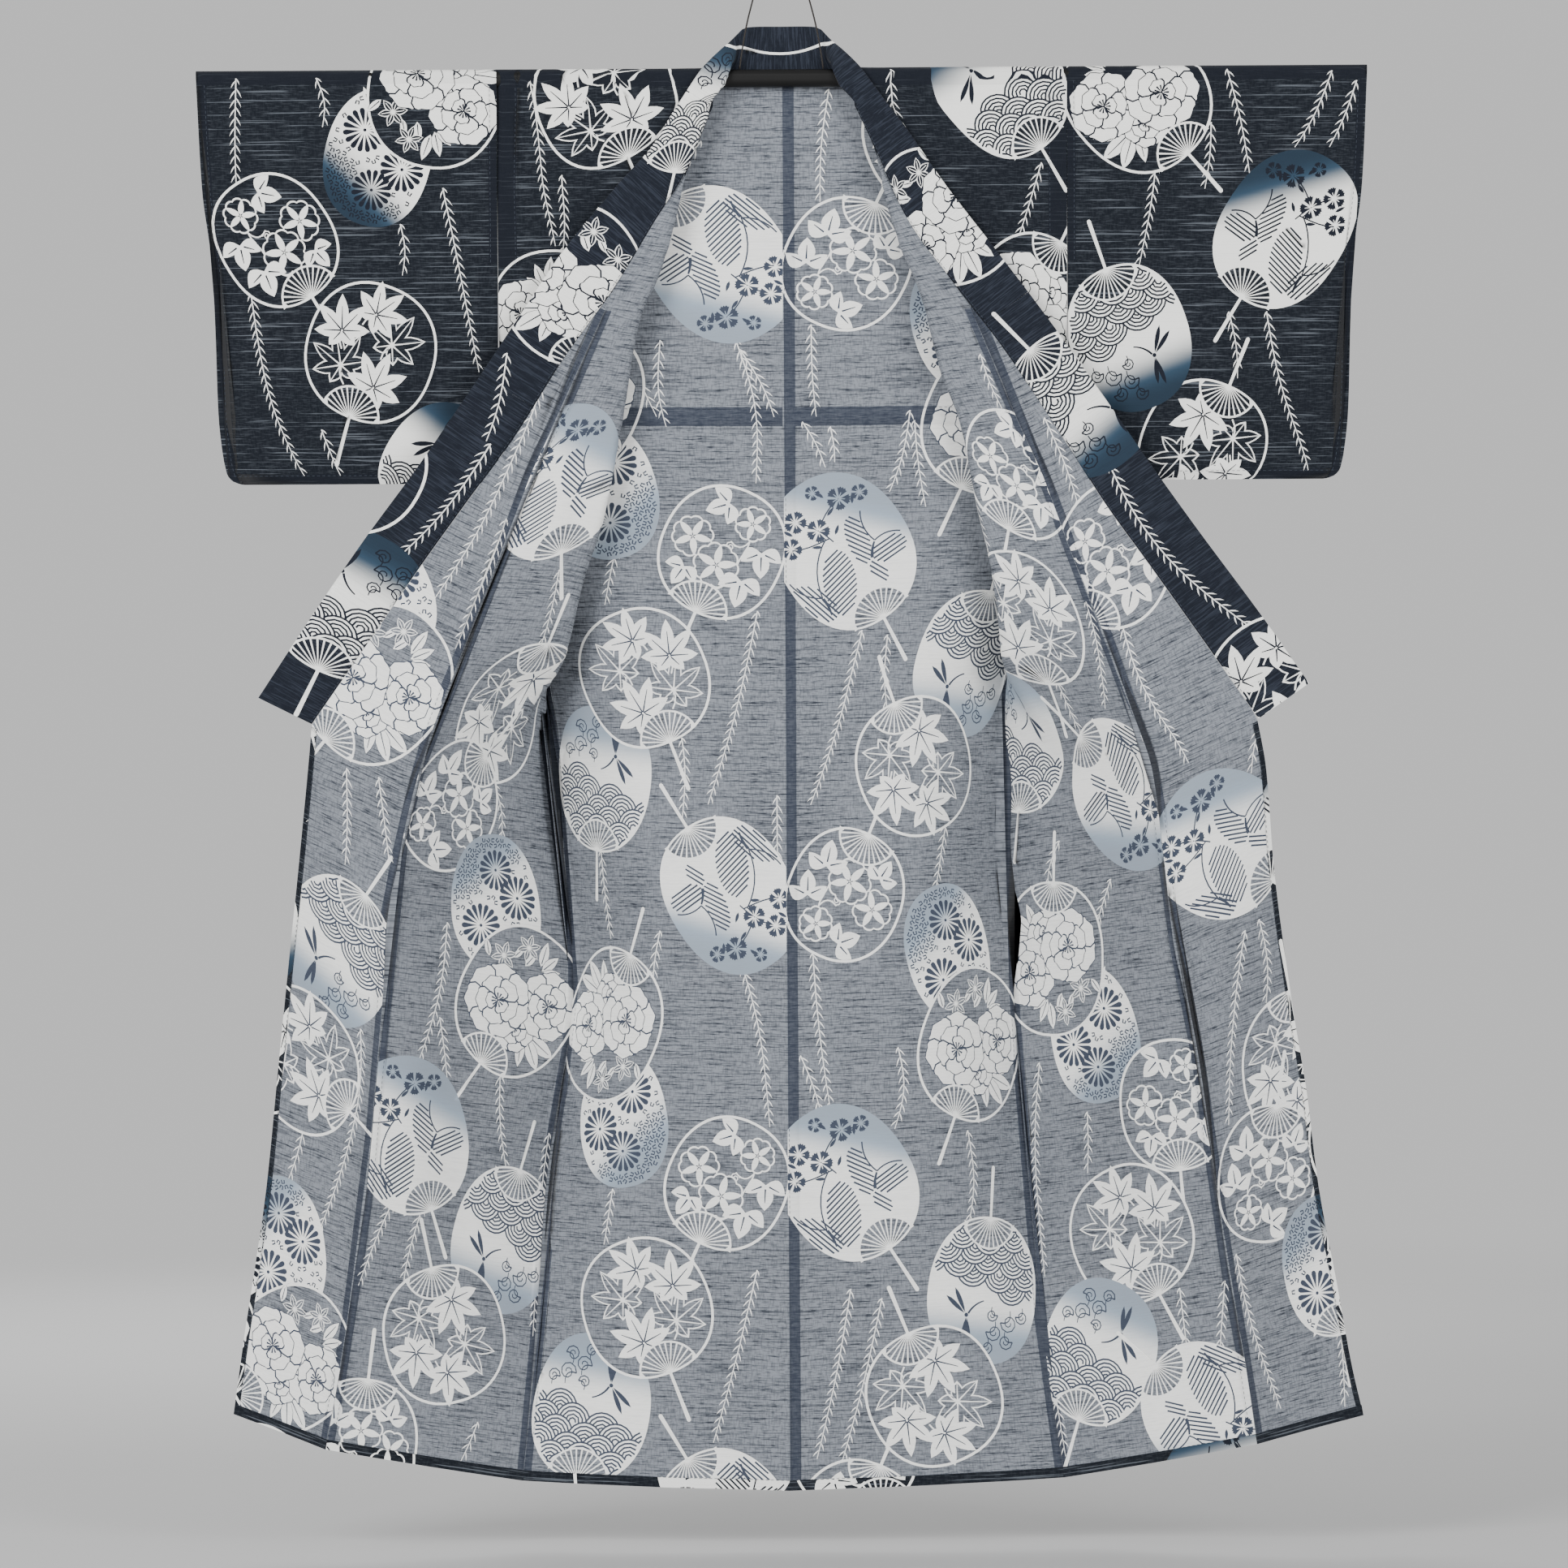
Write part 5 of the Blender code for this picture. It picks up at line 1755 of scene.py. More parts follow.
# Fans where they show in the view: (x, y, turn, fan), and how far the middle is from (x, y) in mm,
# right and up, where it isn't there. A turn is in degrees; at 0 the handle points down.
FRONT_FANS = (
    (690, 590, 6, BUTTERFLY), (640, 880, 163, MAPLE), (556, 985, 136, MORNING), (608, 1112, 4, KIKU),
    (635, 1230, -34, PEONY), (500, 1390, 20, BUTTERFLY), (612, 1528, 165, WAVE), (540, 1642, -166, MAPLE),
    (432, 1790, 172, MORNING), (1258, 592, -13, MORNING), (1262, 762, 13, MAPLE), (1262, 915, 0, WAVE),
    (1388, 985, -136, BUTTERFLY), (1345, 1280, 192, KIKU), (1296, 1185, 176, PEONY),
    (1440, 1368, 5, MORNING), (1386, 1528, 26, MAPLE), (1345, 1672, -20, WAVE),
    (1486, 1750, -130, BUTTERFLY),
)
SHOULDER_FANS = (
    (770, 122, 30, MAPLE), (680, 398, 0, PEONY), (1243, 112, 33, WAVE), (1275, 388, 150, PEONY),
)
OVERLAP_FANS = (
    (470, 730, 30, KIKU), (470, 838, -45, PEONY), (415, 1165, 156, WAVE), (366, 1300, 60, MAPLE),
    (338, 1530, 10, KIKU), (352, 1668, -56, PEONY), (1372, 690, -25, MORNING), (1500, 1045, 51, BUTTERFLY),
    (1600, 1312, -175, MAPLE), (1555, 1452, 168, MORNING), (1662, 1560, 10, KIKU),
)
SLEEVE_FANS = (
    (474, 190, 165, KIKU), (545, 106, 170, PEONY), (350, 287, 37, MORNING), (546, 578, -30, WAVE),
    (465, 428, -20, MAPLE), (1412, 128, 42, PEONY), (1592, 292, -38, BUTTERFLY), (1484, 560, 153, MAPLE),
    (1400, 420, -160, WAVE),
)
COLLAR_FANS = (
    (852, 122, -12, WAVE), (716, 352, 0, PEONY), (440, 738, -28, WAVE), (1168, 268, 84, PEONY),
    (1335, 505, -138, WAVE), (1582, 862, 0, MAPLE), (536, 600, 150, RING, (-84.0, 32.0)),
)

# The print inside and outside the back of the collar: (fan, u, v from the centre, turn)
NECK_FANS = ((RING, 106, 0, -90),)

# Willow branches: the x and y of each corner of the stem, from its top, where it shows in the view
BACK_WILLOWS = (
    (915, 420, 940, 500, 936, 595), (920, 430, 945, 475, 973, 516), (820, 417, 811, 477, 824, 524),
    (937, 752, 915, 860, 872, 992), (790, 460, 800, 485, 812, 512), (764, 664, 756, 700, 746, 745),
    (838, 905, 848, 950, 842, 1010), (740, 1045, 742, 1100, 750, 1155), (812, 1145, 798, 1210, 812, 1265),
    (905, 1170, 935, 1260, 942, 1390), (748, 1465, 744, 1500, 736, 1534), (925, 1562, 905, 1660, 872, 1780),
    (872, 170, 845, 210, 832, 250), (960, 980, 964, 1060, 958, 1120), (1034, 112, 1020, 180, 1016, 246),
    (1009, 400, 1006, 460, 1012, 515), (996, 518, 1008, 545, 1022, 574), (1026, 526, 1034, 550, 1034, 570),
    (1129, 508, 1120, 560, 1102, 608), (1130, 520, 1136, 575, 1147, 628), (1064, 775, 1044, 870, 1000, 992),
    (1094, 780, 1090, 830, 1096, 880), (1166, 1010, 1158, 1070, 1150, 1110),
    (998, 1172, 1004, 1270, 1022, 1385), (984, 1300, 1000, 1340, 1012, 1385),
    (1104, 1290, 1112, 1340, 1098, 1392), (1190, 1400, 1200, 1460, 1184, 1520),
    (1040, 1590, 1022, 1690, 996, 1800), (1078, 1600, 1056, 1700, 1024, 1810),
)
FRONT_WILLOWS = (
    (692, 698, 684, 750, 664, 805), (548, 1130, 544, 1207, 512, 1302), (610, 1308, 607, 1371, 616, 1440),
    (538, 1245, 543, 1285, 547, 1324), (522, 1459, 497, 1535, 490, 1579),
    (701, 1402, 679, 1472, 660, 1560, 666, 1650), (579, 1752, 568, 1775, 556, 1799),
    (484, 1465, 462, 1509, 437, 1572), (600, 930, 620, 990, 615, 1040), (1212, 440, 1225, 480, 1240, 510),
    (1350, 742, 1356, 810, 1362, 880), (1296, 830, 1318, 880, 1345, 925), (1203, 600, 1210, 640, 1214, 690),
    (1306, 1040, 1290, 1080, 1296, 1110), (1368, 1090, 1342, 1160, 1350, 1220),
    (1336, 1377, 1338, 1412, 1336, 1450), (1446, 1591, 1450, 1645, 1456, 1698),
    (1280, 1314, 1270, 1434, 1283, 1585), (1503, 1579, 1496, 1625, 1492, 1679),
    (1264, 1707, 1275, 1755, 1286, 1805),
)
SHOULDER_WILLOWS = (
    (664, 96, 676, 190, 692, 300), (700, 215, 706, 260, 700, 310), (1292, 205, 1272, 270, 1250, 336),
    (1108, 88, 1112, 140, 1126, 182),
)
OVERLAP_WILLOWS = (
    (677, 469, 640, 580, 540, 732), (643, 644, 606, 720, 566, 798), (430, 940, 432, 1010, 424, 1060),
    (443, 1258, 445, 1333, 424, 1421, 384, 1522), (371, 1380, 360, 1415, 349, 1450),
    (470, 950, 476, 1010, 482, 1060), (1291, 520, 1318, 590, 1340, 657), (1380, 766, 1400, 850, 1462, 946),
    (1549, 897, 1542, 930, 1540, 957), (1530, 1150, 1510, 1270, 1508, 1392),
    (1548, 1140, 1560, 1190, 1556, 1240), (1516, 1550, 1528, 1640, 1569, 1742),
    (1641, 1610, 1646, 1676, 1648, 1742),
)
SLEEVE_WILLOWS = (
    (304, 90, 296, 180, 304, 266), (316, 352, 330, 470, 386, 592), (500, 272, 510, 300, 502, 332),
    (556, 226, 572, 330, 598, 452), (402, 522, 416, 558, 430, 594), (400, 92, 410, 120, 408, 150),
    (1431, 208, 1422, 270, 1409, 336), (1652, 96, 1628, 150, 1604, 192), (1522, 92, 1540, 150, 1546, 218),
    (1566, 392, 1580, 490, 1612, 592), (1520, 392, 1530, 435, 1532, 475), (1689, 107, 1668, 150, 1645, 189),
    (1503, 160, 1500, 200, 1494, 238), (1370, 90, 1362, 100, 1350, 150),
)
COLLAR_WILLOWS = (
    (612, 545, 560, 630, 490, 690), (628, 430, 622, 490, 606, 540), (1368, 582, 1425, 695, 1555, 795),
)

# Soft creases in the hung cloth, in mm: from (out, drop) to (out, drop), width, depth
CREASES = (
    (-470, 930, -520, 1500, 16, 5), (455, 900, 520, 1380, 16, 5), (-430, 1000, -445, 1500, 26, -5),
    (415, 1000, 440, 1450, 26, -5), (-240, 420, -330, 900, 14, -4), (250, 430, 345, 880, 14, -4),
    (-380, 820, -370, 1560, 34, 5), (350, 880, 360, 1600, 34, 5), (-60, 620, -75, 1600, 30, -3),
    (70, 560, 90, 1600, 30, -3), (-560, 900, -600, 1300, 22, 5), (560, 900, 610, 1300, 22, 5),
    (-420, 60, -450, 430, 30, 1.2), (430, 60, 470, 420, 30, 1.2), (-350, 120, -640, 400, 26, 0.9),
    (350, 130, 640, 380, 26, 0.9), (-300, 480, -400, 700, 20, 4), (300, 480, 410, 700, 20, 4),
)


def hung(
    line: Callable[[float], Array], half: HungHalf, vs: Array, width: float, columns: int, outside_y: float
) -> Surface:
    """A panel's surface from its line at each run.

    Args:
        line: gives the panel's line at a run, as (out, depth, height) points.
        half: the half of the garment that it is on.
        vs: the runs of its rows.
        width: its width as cloth.
        columns: how many points across.
        outside_y: which way its outer face looks near its top at u 0: -1 to the front.

    Returns:
        The surface.
    """
    us = np.linspace(0, width, columns)
    points = half.placed(np.array([spaced(line(v), us / width) for v in vs]))
    surface = Surface(points, us, vs)
    row = int(np.argmin(np.abs(vs - max(90.0, vs[0] + 40))))
    if surface.normals[row, 2, 1] * outside_y < 0:
        surface.outside = -1.0
        surface.refresh()
    return surface


def on_side(rows: Sequence[tuple], side: Side) -> list[tuple]:
    """The rows of a table that start on this side of the centre back seam."""
    return [row for row in rows if (row[0] > VIEW_CENTRE) is (side is Side.RIGHT)]


def body_rows(start: float = 0.0, end: float = LENGTH) -> Array:
    """Runs of a panel's rows: close together over the bar."""
    first = np.array([0, 2.5, 5, 7.5, 10, 12.5, 14.6, 19])
    return np.concatenate([first[first >= start], np.arange(max(24.0, start), end - 1, 6), [end]])


def dress(piece: Piece, nodes: Sequence[str] = ()) -> Piece:
    """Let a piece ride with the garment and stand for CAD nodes."""
    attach(piece, BODY)
    if nodes:
        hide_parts(*nodes)
    LOG.info("%s: %d faces", piece.name, len(getattr(piece.data, "polygons", ())))
    return piece


@dataclass
class Finishes:
    """Every finish, made once."""

    outside: Finish = field(default_factory=OUTSIDE.build)
    inside: Finish = field(default_factory=INSIDE.build)
    collar: Finish = field(default_factory=COLLAR_FACE.build)
    lacquer: Finish = field(default_factory=LACQUER.build)
    wood: Finish = field(default_factory=WOOD.build)
    steel: Finish = field(default_factory=STEEL.build)
    cord: Finish = field(default_factory=CORD.build)
    thread: Finish = field(default_factory=SEWING.build)


@dataclass
class Stitches:
    """Running stitches along a seam, made by a node tree from the seam's line.

    Fields:
        pitch: distance from one stitch to the next, in metres.
        length: length of a stitch.
        radius: half the thread's thickness.
    """

    pitch: float = 0.006
    length: float = 0.0032
    radius: float = 0.00028

    @property
    def sizes(self) -> dict[str, float]:
        """The tree's named inputs."""
        return {"Pitch": self.pitch, "Stitch length": self.length, "Thread radius": self.radius}

    def tree(self, finish: Finish) -> bpy.types.NodeTree:
        """The node tree, with named inputs for its sizes."""
        tree = bpy.data.node_groups.new("running_stitch", "GeometryNodeTree")
        tree.interface.new_socket("Seam", in_out="INPUT", socket_type="NodeSocketGeometry")
        for name, value in self.sizes.items():
            made = tree.interface.new_socket(name, in_out="INPUT", socket_type="NodeSocketFloat")
            made.default_value = value
        tree.interface.new_socket("Stitches", in_out="OUTPUT", socket_type="NodeSocketGeometry")
        start, points, bar, turn, place, real, paint, end = (tree.nodes.new(kind) for kind in (
            "NodeGroupInput", "GeometryNodeCurveToPoints", "GeometryNodeMeshCylinder",
            "FunctionNodeAlignRotationToVector", "GeometryNodeInstanceOnPoints",
            "GeometryNodeRealizeInstances", "GeometryNodeSetMaterial", "NodeGroupOutput",
        ))
        points.mode = "LENGTH"
        bar.inputs["Vertices"].default_value = 4
        turn.axis = "Z"
        paint.inputs["Material"].default_value = finish
        for giver, output, taker, entry in (
            (start, "Seam", points, "Curve"), (start, "Pitch", points, "Length"),
            (start, "Stitch length", bar, "Depth"), (start, "Thread radius", bar, "Radius"),
            (points, "Tangent", turn, "Vector"), (points, "Points", place, "Points"),
            (bar, "Mesh", place, "Instance"), (turn, "Rotation", place, "Rotation"),
            (place, "Instances", real, "Geometry"), (real, "Geometry", paint, "Geometry"),
            (paint, "Geometry", end, "Stitches"),
        ):
            tree.links.new(giver.outputs[output], taker.inputs[entry])
        return tree

    def sew(self, name: str, seams: Sequence[Array], tree: bpy.types.NodeTree) -> Piece:
        """Sew along lines.

        Args:
            name: the piece's name.
            seams: lines of points, in metres.
            tree: the stitch tree.

        Returns:
            One mesh of all the stitches.
        """
        curve = bpy.data.curves.new(name + "_line", "CURVE")
        curve.dimensions = "3D"
        for seam in seams:
            spline = curve.splines.new("POLY")
            spline.points.add(len(seam) - 1)
            spline.points.foreach_set("co", np.hstack([seam, np.ones((len(seam), 1))]).ravel())
        holder = added(name + "_line", curve)
        modifier = holder.modifiers.new("stitch", "NODES")
        modifier.node_group = tree
        for item in tree.interface.items_tree:
            if item.name in self.sizes:
                modifier[item.identifier] = self.sizes[item.name]
        graph = bpy.context.evaluated_depsgraph_get()
        mesh = bpy.data.meshes.new_from_object(holder.evaluated_get(graph), depsgraph=graph)
        bpy.data.objects.remove(holder)
        bpy.data.curves.remove(curve)
        mesh.name = name
        return added(name, mesh)


@dataclass
class Garment:
    """The yukata's printed cloth: body, overlaps, sleeves and collar.

    Fields:
        finishes: the finishes.
        drape: the cloth's unevenness.
        hem: width of the turned-up hem, in mm.
        edge: width of the turned-in free edge.
    """

    finishes: Finishes
    drape: Drape
    hem: float = 12.0
    edge: float = 6.5
    drawings: dict[Motif, Drawing] = field(default_factory=drawn_fans)
    seams: list[Array] = field(default_factory=list)

    def _seam(self, surface: Surface, corners: Sequence[Point2], off: float = WITHIN) -> None:
        """Note a line to sew.

        Args:
            surface: the cloth.
            corners: the line's (u, v) corners.
            off: how far it lies off the cloth's middle, in mm; negative inside.
        """
        path = np.array(corners, float)
        length = np.linalg.norm(np.diff(path, axis=0), axis=1).sum()
        places = spaced(path, np.linspace(0, 1, max(int(length / 7), 2)))
        middle, normal = surface.at(places[:, 0], places[:, 1])
        self.seams.append(middle + normal * off * MM)

    @property
    def faces(self) -> tuple[Finish, Finish]:
        """Finishes of the outer and the inner face."""
        return self.finishes.outside, self.finishes.inside

    def _surface(self, *wanted: object) -> Surface:
        """A hung surface with the drape's unevenness."""
        made = hung(*wanted)
        made.sway(self.drape)
        return made

    def _piece(self, panel: PrintedPanel) -> Piece:
        """A panel's piece, which stands for the solid of its name."""
        return dress(panel.build(self.faces), [panel.name.replace("cotton_", "")])

    def _strip(self, panel: PrintedPanel, kind: str, **sizes: object) -> Piece:
        """A turned-in strip of a panel, whose outer face shows inside."""
        sizes = {"surface": panel.surface, "laid": panel.laid, **sizes}
        strip = PrintedPanel(panel.name.replace("cotton", kind), wall=0.5, **sizes)
        return dress(strip.build([self.finishes.outside] * 2))

    def _hem(self, panel: PrintedPanel, width: float) -> Piece:
        """The turned-up hem of a panel."""
        return self._strip(
            panel, "hem", u_range=(0.0, width), v_range=(LENGTH - 0.2, LENGTH + self.hem), sink=STRIP_SINK,
            fold_v=LENGTH, step=(12.0, 4.0),
        )

    def back(self, half: HungHalf) -> None:
        """One half of the back, its allowance at the centre seam, its tuck and its hem."""
        side, width = half.side, BACK_WIDTH
        surface = self._surface(half.back_line, half, body_rows(), width, 61, 1.0)
        panel = PrintedPanel(f"cotton_back_{side.value}", surface, (0.0, width), (0.0, LENGTH))
        neck = NECK * width / SHOULDER
        panel.holes = [[(-5, -5), (neck, -5), (neck, 12), (-5, 12)]]
        axes = np.array([[side.sign, 0.0], [0.0, -1.0]])
        for stem in on_side(BACK_WILLOWS, side):
            panel.lay_willow(stem, (0.0, width))
        for cycle in range(-1, 4):
            for motif, u, v, turn in REPEAT_FANS:
                if side is Side.RIGHT:
                    v, turn = TURNED_REPEAT - v, turn + 180
                panel.lay_at(self.drawings[motif], u, v + cycle * REPEAT, turn, axes)
        panel.doubled_and_hanger_shade = [
            DoubledAndHangerShade(1.0, width - 1, *TUCK),
            DoubledAndHangerShade(width - 10, width - 0.5, SIDE_OPENING_END + 2, LENGTH - 1),
        ]
        if side is Side.RIGHT:
            panel.doubled_and_hanger_shade.append(DoubledAndHangerShade(0.8, 13.5, 20, LENGTH - 1))
            self._seam(surface, [(2.0, 24), (2.0, SEAM_END)])
        made = self._piece(panel)
        hem = self._hem(panel, width)
        self._seam(surface, [(2, TUCK[0] + 2), (width - 12, TUCK[0] + 2)])
        self._seam(surface, [(width - 8, TUCK[1] + 5), (width - 8, SEAM_END)])
        self._seam(surface, [(2, LENGTH - self.hem), (width - 2, LENGTH - self.hem)], IN_HEM)

    def front(self, half: HungHalf) -> None:
        """One front, from the shoulder to the hem, turned back on itself."""
        side, width = half.side, FRONT_WIDTH
        surface = self._surface(half.front_line, half, body_rows(), width, 85, -1.0)
        name = f"cotton_front_{side.value}"
        panel = PrintedPanel(name, surface, (0.0, width), (0.0, LENGTH), step=(6.0, 12.0))
        whole, turned_part = (0.0, width), (width * 0.52, width)
        for stem in on_side(FRONT_WILLOWS, side):
            panel.lay_willow(stem, turned_part if stem[1] < TURNED_BACK else whole)
        for stem in on_side(SHOULDER_WILLOWS, side):
            panel.lay_willow(stem, whole)
        for fan in on_side(FRONT_FANS, side):
            panel.lay_seen(fan, self.drawings, turned_part if fan[1] < TURNED_BACK else whole)
        for fan in on_side(SHOULDER_FANS, side):
            panel.lay_seen(fan, self.drawings, (0.0, width * 0.5), outside=True)
        panel.doubled_and_hanger_shade = [
            # The stretch at runs 1 to 22, over the hanger's bar, is drawn darker as painted shade of the
            # black bar under the cloth
            DoubledAndHangerShade(0.5, 24, 3, ARMHOLE + 2), DoubledAndHangerShade(24.5, width - 2, 1, 22),
            DoubledAndHangerShade(0.5, 9, SIDE_OPENING_END + 2, LENGTH - 1),
            DoubledAndHangerShade(width - 9, width - 0.5, 300, LENGTH - 1),
        ]
        made = self._piece(panel)
        hem = self._hem(panel, width)
        self._seam(surface, [(22, 24), (22, ARMHOLE)], OUT)
        self._seam(surface, [(width - 7, 305), (width - 7, SEAM_END)])
        self._seam(surface, [(2, LENGTH - self.hem), (width - 2, LENGTH - self.hem)], IN_HEM)

    def overlap(self, half: HungHalf) -> None:
        """One overlap panel, with its turned-in free edge."""
        side = half.side
        vs = body_rows(OVERLAP_TOP + 4)
        us = np.linspace(0, OVERLAP_WIDTH, 31)
        widths, rows = [], []
        for v in vs:
            path = half.overlap_line(v)
            length = np.linalg.norm(np.diff(path, axis=0), axis=1).sum()
            way = (path[-1] - path[-8]) / np.linalg.norm(path[-1] - path[-8])
            past = np.maximum(us - length, 0.0)[:, None] * way
            widths.append(length)
            rows.append(spaced(path, np.minimum(us / length, 1.0)) + past)
        surface = Surface(half.placed(np.array(rows)), us, vs)
        if surface.normals[40, 2, 1] < 0:
            surface.outside = -1.0
        surface.sway(self.drape)

        def reach(v: float) -> float:
            """The panel's width at a v."""
            return float(np.interp(v, vs, widths))

        name = f"cotton_okumi_{side.value}"
        panel = PrintedPanel(name, surface, (0.0, max(widths)), (vs[0], LENGTH), reach=reach)
        for stem in on_side(OVERLAP_WILLOWS, side):
            panel.lay_willow(stem, (0.0, OVERLAP_WIDTH))
        for fan in on_side(OVERLAP_FANS, side):
            panel.lay_seen(fan, self.drawings, (0.0, OVERLAP_WIDTH))
        panel.doubled_and_hanger_shade = [DoubledAndHangerShade(0.5, 9, 300, LENGTH - 1)]
        made = self._piece(panel)
        hem = self._hem(panel, reach(LENGTH))
        edge = self._free_edge(panel, reach)
        self._seam(surface, [(7, 330), (7, SEAM_END)])
        inner = [(reach(v) - self.edge + 0.7, v) for v in np.arange(COLLAR_END + 6, SEAM_END, 30)]
        self._seam(surface, inner, IN_HEM)
        self._seam(surface, [(3, LENGTH - self.hem), (inner[-1][0], LENGTH - self.hem)], IN_HEM)

    def _free_edge(self, panel: PrintedPanel, reach: Callable[[float], float]) -> Piece:
        """The free edge's turned-in strip."""
        vs = np.arange(COLLAR_END + 3, LENGTH - 2, 8)
        us = np.linspace(0, self.edge, 5)
        rows = [panel.surface.at(reach(v) - us, np.full(len(us), v)) for v in vs]
        surface = Surface(np.array([row[0] - row[1] * STRIP_SINK * MM for row in rows]), us, vs)
        laid = [Laid(p.drawing, p.centre - (reach(float(p.centre[1])), 0), p.axes) for p in panel.laid]
        return self._strip(
            panel, "edge", surface=surface, laid=laid, u_range=(0.0, self.edge),
            v_range=(vs[0], vs[-1]), step=(3.0, 12.0),
        )

    def sleeve(self, half: HungHalf) -> None:
        """Both leaves of one sleeve."""
        side, width, drop = half.side, SLEEVE_WIDTH, SLEEVE_DROP
        for leaf, name in ((-1.0, "front"), (1.0, "back")):

            def line(run: float, leaf: float = leaf) -> Array:
                """The leaf's line at a run."""
                return half.sleeve_line(run, leaf)

            surface = self._surface(line, half, body_rows(0.0, drop), width, 61, leaf)
            name = f"cotton_sleeve_{side.value}_{name}"
            panel = PrintedPanel(name, surface, (0.0, width), (0.0, drop), corner=13.0)
            for stem in on_side(SLEEVE_WILLOWS, side):
                panel.lay_willow(stem, (0.0, width))
            for fan in on_side(SLEEVE_FANS, side):
                panel.lay_seen(fan, self.drawings, (0.0, width), outside=True)
            panel.doubled_and_hanger_shade = [
                # The stretch at runs 1 to 22, over the hanger, is drawn darker as painted shade of the
                # hanger under the cloth
                DoubledAndHangerShade(0.5, 10, 23, ARMHOLE + 2), DoubledAndHangerShade(0.5, width - 0.5, 1, 22),
                DoubledAndHangerShade(width - 11, width - 0.5, 23, drop - 1),
                DoubledAndHangerShade(0.5, width - 12, drop - 12, drop - 1),
            ]
            self._piece(panel)
            edge = width - 9.5
            self._seam(surface, [(8, 24), (8, ARMHOLE)], OUT)
            self._seam(surface, [(edge, 24), (edge, drop - 12)], OUT)
            self._seam(surface, [(10, drop - 10), (edge, drop - 10)], OUT)

    def _collar_surface(self) -> Surface:
        """The collar's band from its left end round the neck to its right end."""
        halves = {}
        for side in Side:
            half = HungHalf(side)
            rolls = [half.placed(np.array(roll)) for roll in NECK_ROLLS]
            runs = [*np.arange(60.0, COLLAR_END - 2, 6.0), COLLAR_END]
            fronts = [half.placed(half.band(run)) for run in runs]
            halves[side] = between([*rolls, fronts[0]], 8)[:-1] + fronts
        stations = halves[Side.LEFT][::-1] + halves[Side.RIGHT][1:]
        t = np.linspace(0, 1, 13)[:, None]
        rows = [
            (2 * t - 1) * (t - 1) * seam + 4 * t * (1 - t) * crease + t * (2 * t - 1) * free
            for seam, crease, free in stations
        ]
        middles = np.array([station[1] for station in stations])
        steps = np.linalg.norm(np.diff(middles, axis=0), axis=1) / MM
        surface = Surface(np.array(rows), t[:, 0] * COLLAR_WIDTH, np.concatenate([[0.0], np.cumsum(steps)]))
        if surface.normals[20, 6, 1] > 0:
            surface.outside = -1.0
        surface.sway(self.drape)
        return surface

    def collar(self) -> None:
        """The collar in its three stretches: two ends and the cover between them."""
        surface = self._collar_surface()
        seam = surface.points[:, 0]
        drops = -seam[:, 2] / MM - SHOULDER_DROP
        ends = [COVER_ENDS["left" if x < 0 else "right"] for x in seam[:, 0]]
        covered = surface.vs[drops < ends]
        low, high, whole = covered[0], covered[-1], surface.vs[-1]
        gap = SEAM_GAP / 2
        for node, start, end, wall in (
            ("collar_left", 0.0, low - gap, 2.6), ("collar_cover", low + gap, high - gap, 3.4),
            ("collar_right", high + gap, whole, 2.6),
        ):
            panel = PrintedPanel(
                "cotton_" + node, surface, (0.3, COLLAR_WIDTH), (start, end), wall=wall,
                step=(6.0, 8.0), rounding=wall / 2,
            )
            for stem in COLLAR_WILLOWS:
                panel.lay_willow(stem, (0.0, COLLAR_WIDTH))
            for fan in COLLAR_FANS:
                panel.lay_seen(fan, self.drawings, (0.0, COLLAR_WIDTH), outside=True)
            for motif, u, along, turn in NECK_FANS:
                axes = np.array([[0.0, -1.0], [1.0, 0.0]])
                panel.lay_at(self.drawings[motif], u, whole / 2 + along, turn, axes)
            made = dress(panel.build([self.finishes.collar] * 2), [node])
            self._seam(surface, [(2.2, start + 3), (2.2, end - 3)], wall / 2 + 0.05)

    def build(self) -> None:
        """All the cloth."""
        for side in Side:
            half = HungHalf(side)
            self.back(half)
            self.front(half)
            self.overlap(half)
            self.sleeve(half)
        self.collar()
        stitches = Stitches()
        sewn = stitches.sew("sewing_stitches", self.seams, stitches.tree(self.finishes.thread))
        dress(sewn)


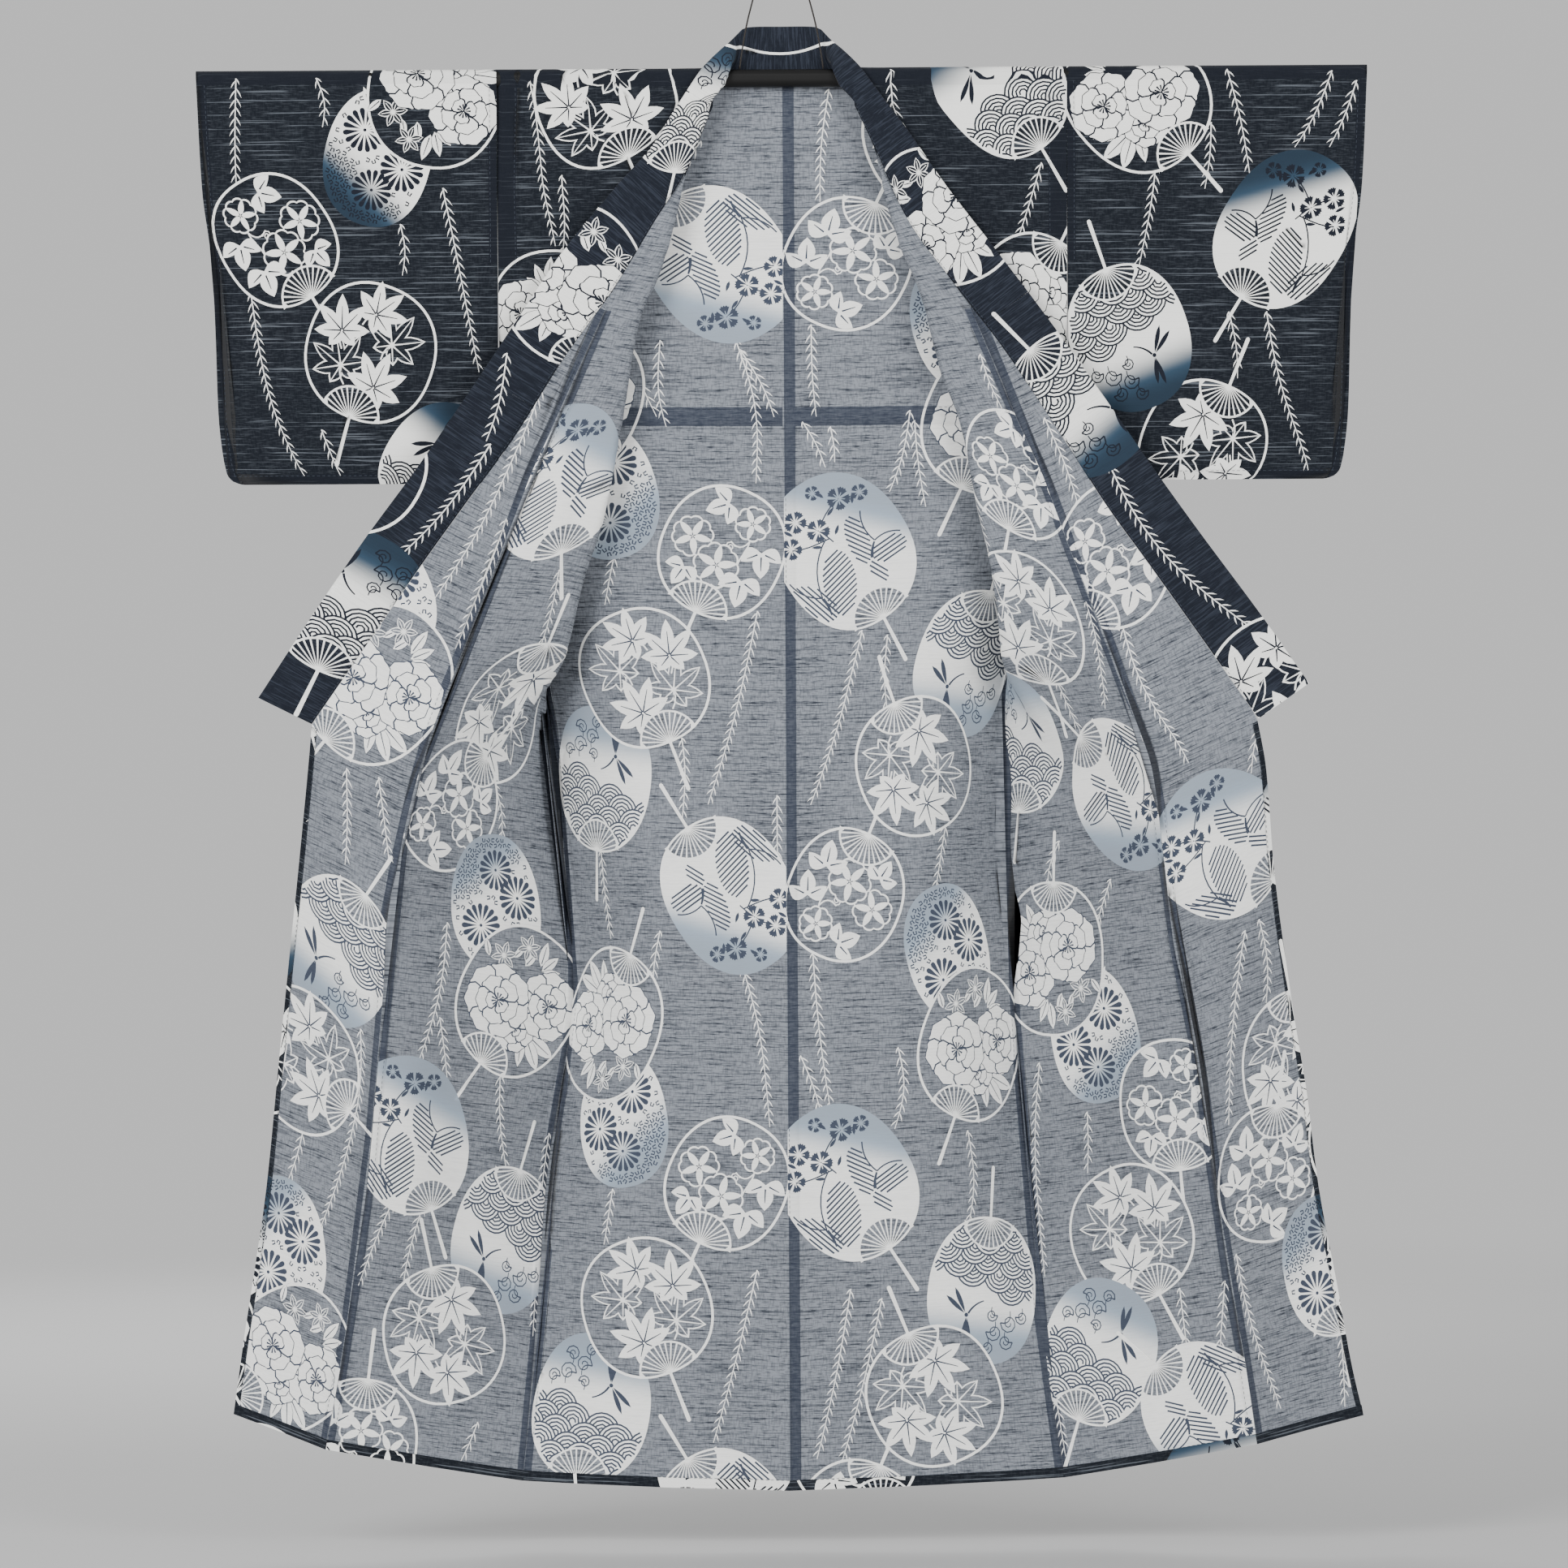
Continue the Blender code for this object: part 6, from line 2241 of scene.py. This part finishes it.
@dataclass
class Hanger:
    """The kimono hanger: bar, arms, cord and ring."""

    finishes: Finishes
    arch: float = 6.0

    def route(self) -> Array:
        """The cord's line from the bar's left, up through the ring and down again, in mm."""
        bar_top = -(CLOTH_REST - BAR_RADIUS) - SHOULDER_DROP
        saddle = -2 * RING_RADIUS + 2 * RING_WIRE + SEAM_GAP + CORD_DIAMETER / 2 + 0.2
        half = [
            (-CORD_SPREAD, bar_top + SEAM_GAP), (-CORD_SPREAD + 2, bar_top + 16),
            (-43.0, bar_top + 40), (-38.5, bar_top + 62), (-30, bar_top + 92), (-20, bar_top + 132),
            (-13, saddle - 26), (-9, saddle - 10), (-self.arch, saddle + 2), (0, saddle + 2),
        ]
        corners = half + [(-x, z) for x, z in half[-2::-1]]
        line = soft_path([(x, 0, z) for x, z in corners], 480)
        points = spaced(line, np.linspace(0, 1, 121))
        lift = saddle - points[:, 2].max()
        points[:, 2] += lift * rises(bar_top + 100, saddle, points[:, 2])
        return points

    def cord(self) -> None:
        """The hanging cord as a twisted tube along its route."""
        path = self.route() * MM
        way = np.gradient(path, axis=0)
        way /= np.linalg.norm(way, axis=1, keepdims=True)
        front = np.array([0.0, -1.0, 0.0])
        side = np.cross(way, front)
        sides = 10
        shape = bmesh.new()
        layer = shape.loops.layers.uv.new("cord")
        run = np.concatenate([[0.0], np.cumsum(np.linalg.norm(np.diff(path, axis=0), axis=1))])
        rings = []
        for i, point in enumerate(path):
            ring = []
            for angle in wheel(sides):
                off = (front * math.cos(angle) + side[i] * math.sin(angle)) * CORD_DIAMETER / 2 * MM
                ring.append(shape.verts.new(point + off))
            rings.append(ring)
        for i, (here, there) in enumerate(zip(rings, rings[1:])):
            for k in range(sides):
                j = (k + 1) % sides
                face = shape.faces.new((here[k], here[j], there[j], there[k]))
                marks = ((k, i), (k + 1, i), (k + 1, i + 1), (k, i + 1))
                for loop, (a, b) in zip(face.loops, marks):
                    loop[layer].uv = (a / sides, run[b])
        shape.faces.new(rings[0])
        shape.faces.new(rings[-1][::-1])
        bmesh.ops.recalc_face_normals(shape, faces=shape.faces)
        mesh = bpy.data.meshes.new("hanging_cord")
        shape.to_mesh(mesh)
        shape.free()
        mesh.shade_smooth()
        mesh.materials.append(self.finishes.cord)
        made = added("hanging_cord", mesh)
        dress(made, ["hanger_cord"])

    def solids(self) -> None:
        """The bar, arms and ring keep their shapes and get their finishes."""
        wanted = {
            "hanger_bar": self.finishes.lacquer, "hanger_arm_left": self.finishes.wood,
            "hanger_arm_right": self.finishes.wood, "hanger_ring": self.finishes.steel,
        }
        for name, finish in wanted.items():
            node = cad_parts[name]
            node.data.materials.clear()
            node.data.materials.append(finish)
            LOG.info("%s: finished", name)

    def build(self) -> None:
        """The whole hanger."""
        self.cord()
        self.solids()


@dataclass
class Studio:
    """Camera, pale floor that fades into an even backdrop, and soft lights."""

    floor: float = -1.95
    radius: float = 7.0
    fade_from: float = 2.6
    fade_to: float = 6.5
    backdrop: float = 0.68

    def camera(self) -> None:
        """The camera, level with the garment's middle and turned by its small roll."""
        data = bpy.data.cameras.new("camera")
        data.sensor_width = SENSOR
        data.lens = SENSOR * CAMERA_DISTANCE / (VIEW_WIDTH * VIEW_UNIT * MM)
        data.clip_end = 100.0
        made = added("camera", data)
        made.location = (CAMERA_SIDE, -CAMERA_DISTANCE, CAMERA_HEIGHT)
        made.rotation_euler = (math.pi / 2, VIEW_ROLL, 0)
        bpy.context.scene.camera = made

    def ground(self) -> None:
        """A round pale floor whose edge fades away."""
        mesh = bpy.data.meshes.new("floor")
        corners = [(x, y, self.floor) for x, y in rim(wheel(64), self.radius)]
        mesh.from_pydata(corners, [], [range(len(corners))])
        n = Nodes("pale_floor")
        place = n.place
        n.paint(n.mix(n.cloud(place, 0.6, 2.0), tint(170, 170, 170), tint(178, 178, 178)), 0.95, 0.1)
        flat = n.stretched(place, (1.0, 1.0, 0.0))
        out = n.node("ShaderNodeVectorMath", {0: flat}, operation="LENGTH").outputs["Value"]
        gone = n.ramp(out, self.fade_from, self.fade_to)
        n.fill(n.shader, {"Alpha": n.math("SUBTRACT", 1.0, gone)})
        mesh.materials.append(n.material)
        added("floor", mesh)

    def light(self, name: str, at: Colour, aim: Colour, size: float, power: float) -> None:
        """One soft square light."""
        data = bpy.data.lights.new(name, "AREA")
        data.size = size
        data.energy = power
        made = added(name, data)
        made.location = at
        made.rotation_euler = (Vector(aim) - Vector(at)).to_track_quat("-Z", "Y").to_euler()

    def build(self) -> None:
        """Camera, floor, backdrop and lights."""
        self.camera()
        self.ground()
        world = bpy.data.worlds.new("studio")
        world.use_nodes = True
        backdrop = world.node_tree.nodes["Background"].inputs
        backdrop["Color"].default_value = (1, 1, 1, 1)
        backdrop["Strength"].default_value = self.backdrop
        bpy.context.scene.world = world
        self.light("key", (-3.6, -5.0, 1.6), (0, 0, -1.0), 3.0, 380)
        self.light("fill", (3.8, -5.0, 0.8), (0, 0, -1.1), 3.0, 250)
        self.light("back", (-1.5, 5.0, 1.4), (0, 0, -1.0), 3.0, 260)


def main() -> None:
    """Build everything in order."""
    logging.basicConfig(level=logging.INFO, format="%(name)s %(message)s")
    Studio().build()
    finishes = Finishes()
    Hanger(finishes).build()
    Garment(finishes, Drape(CREASES)).build()


if __name__ == "__main__":
    main()
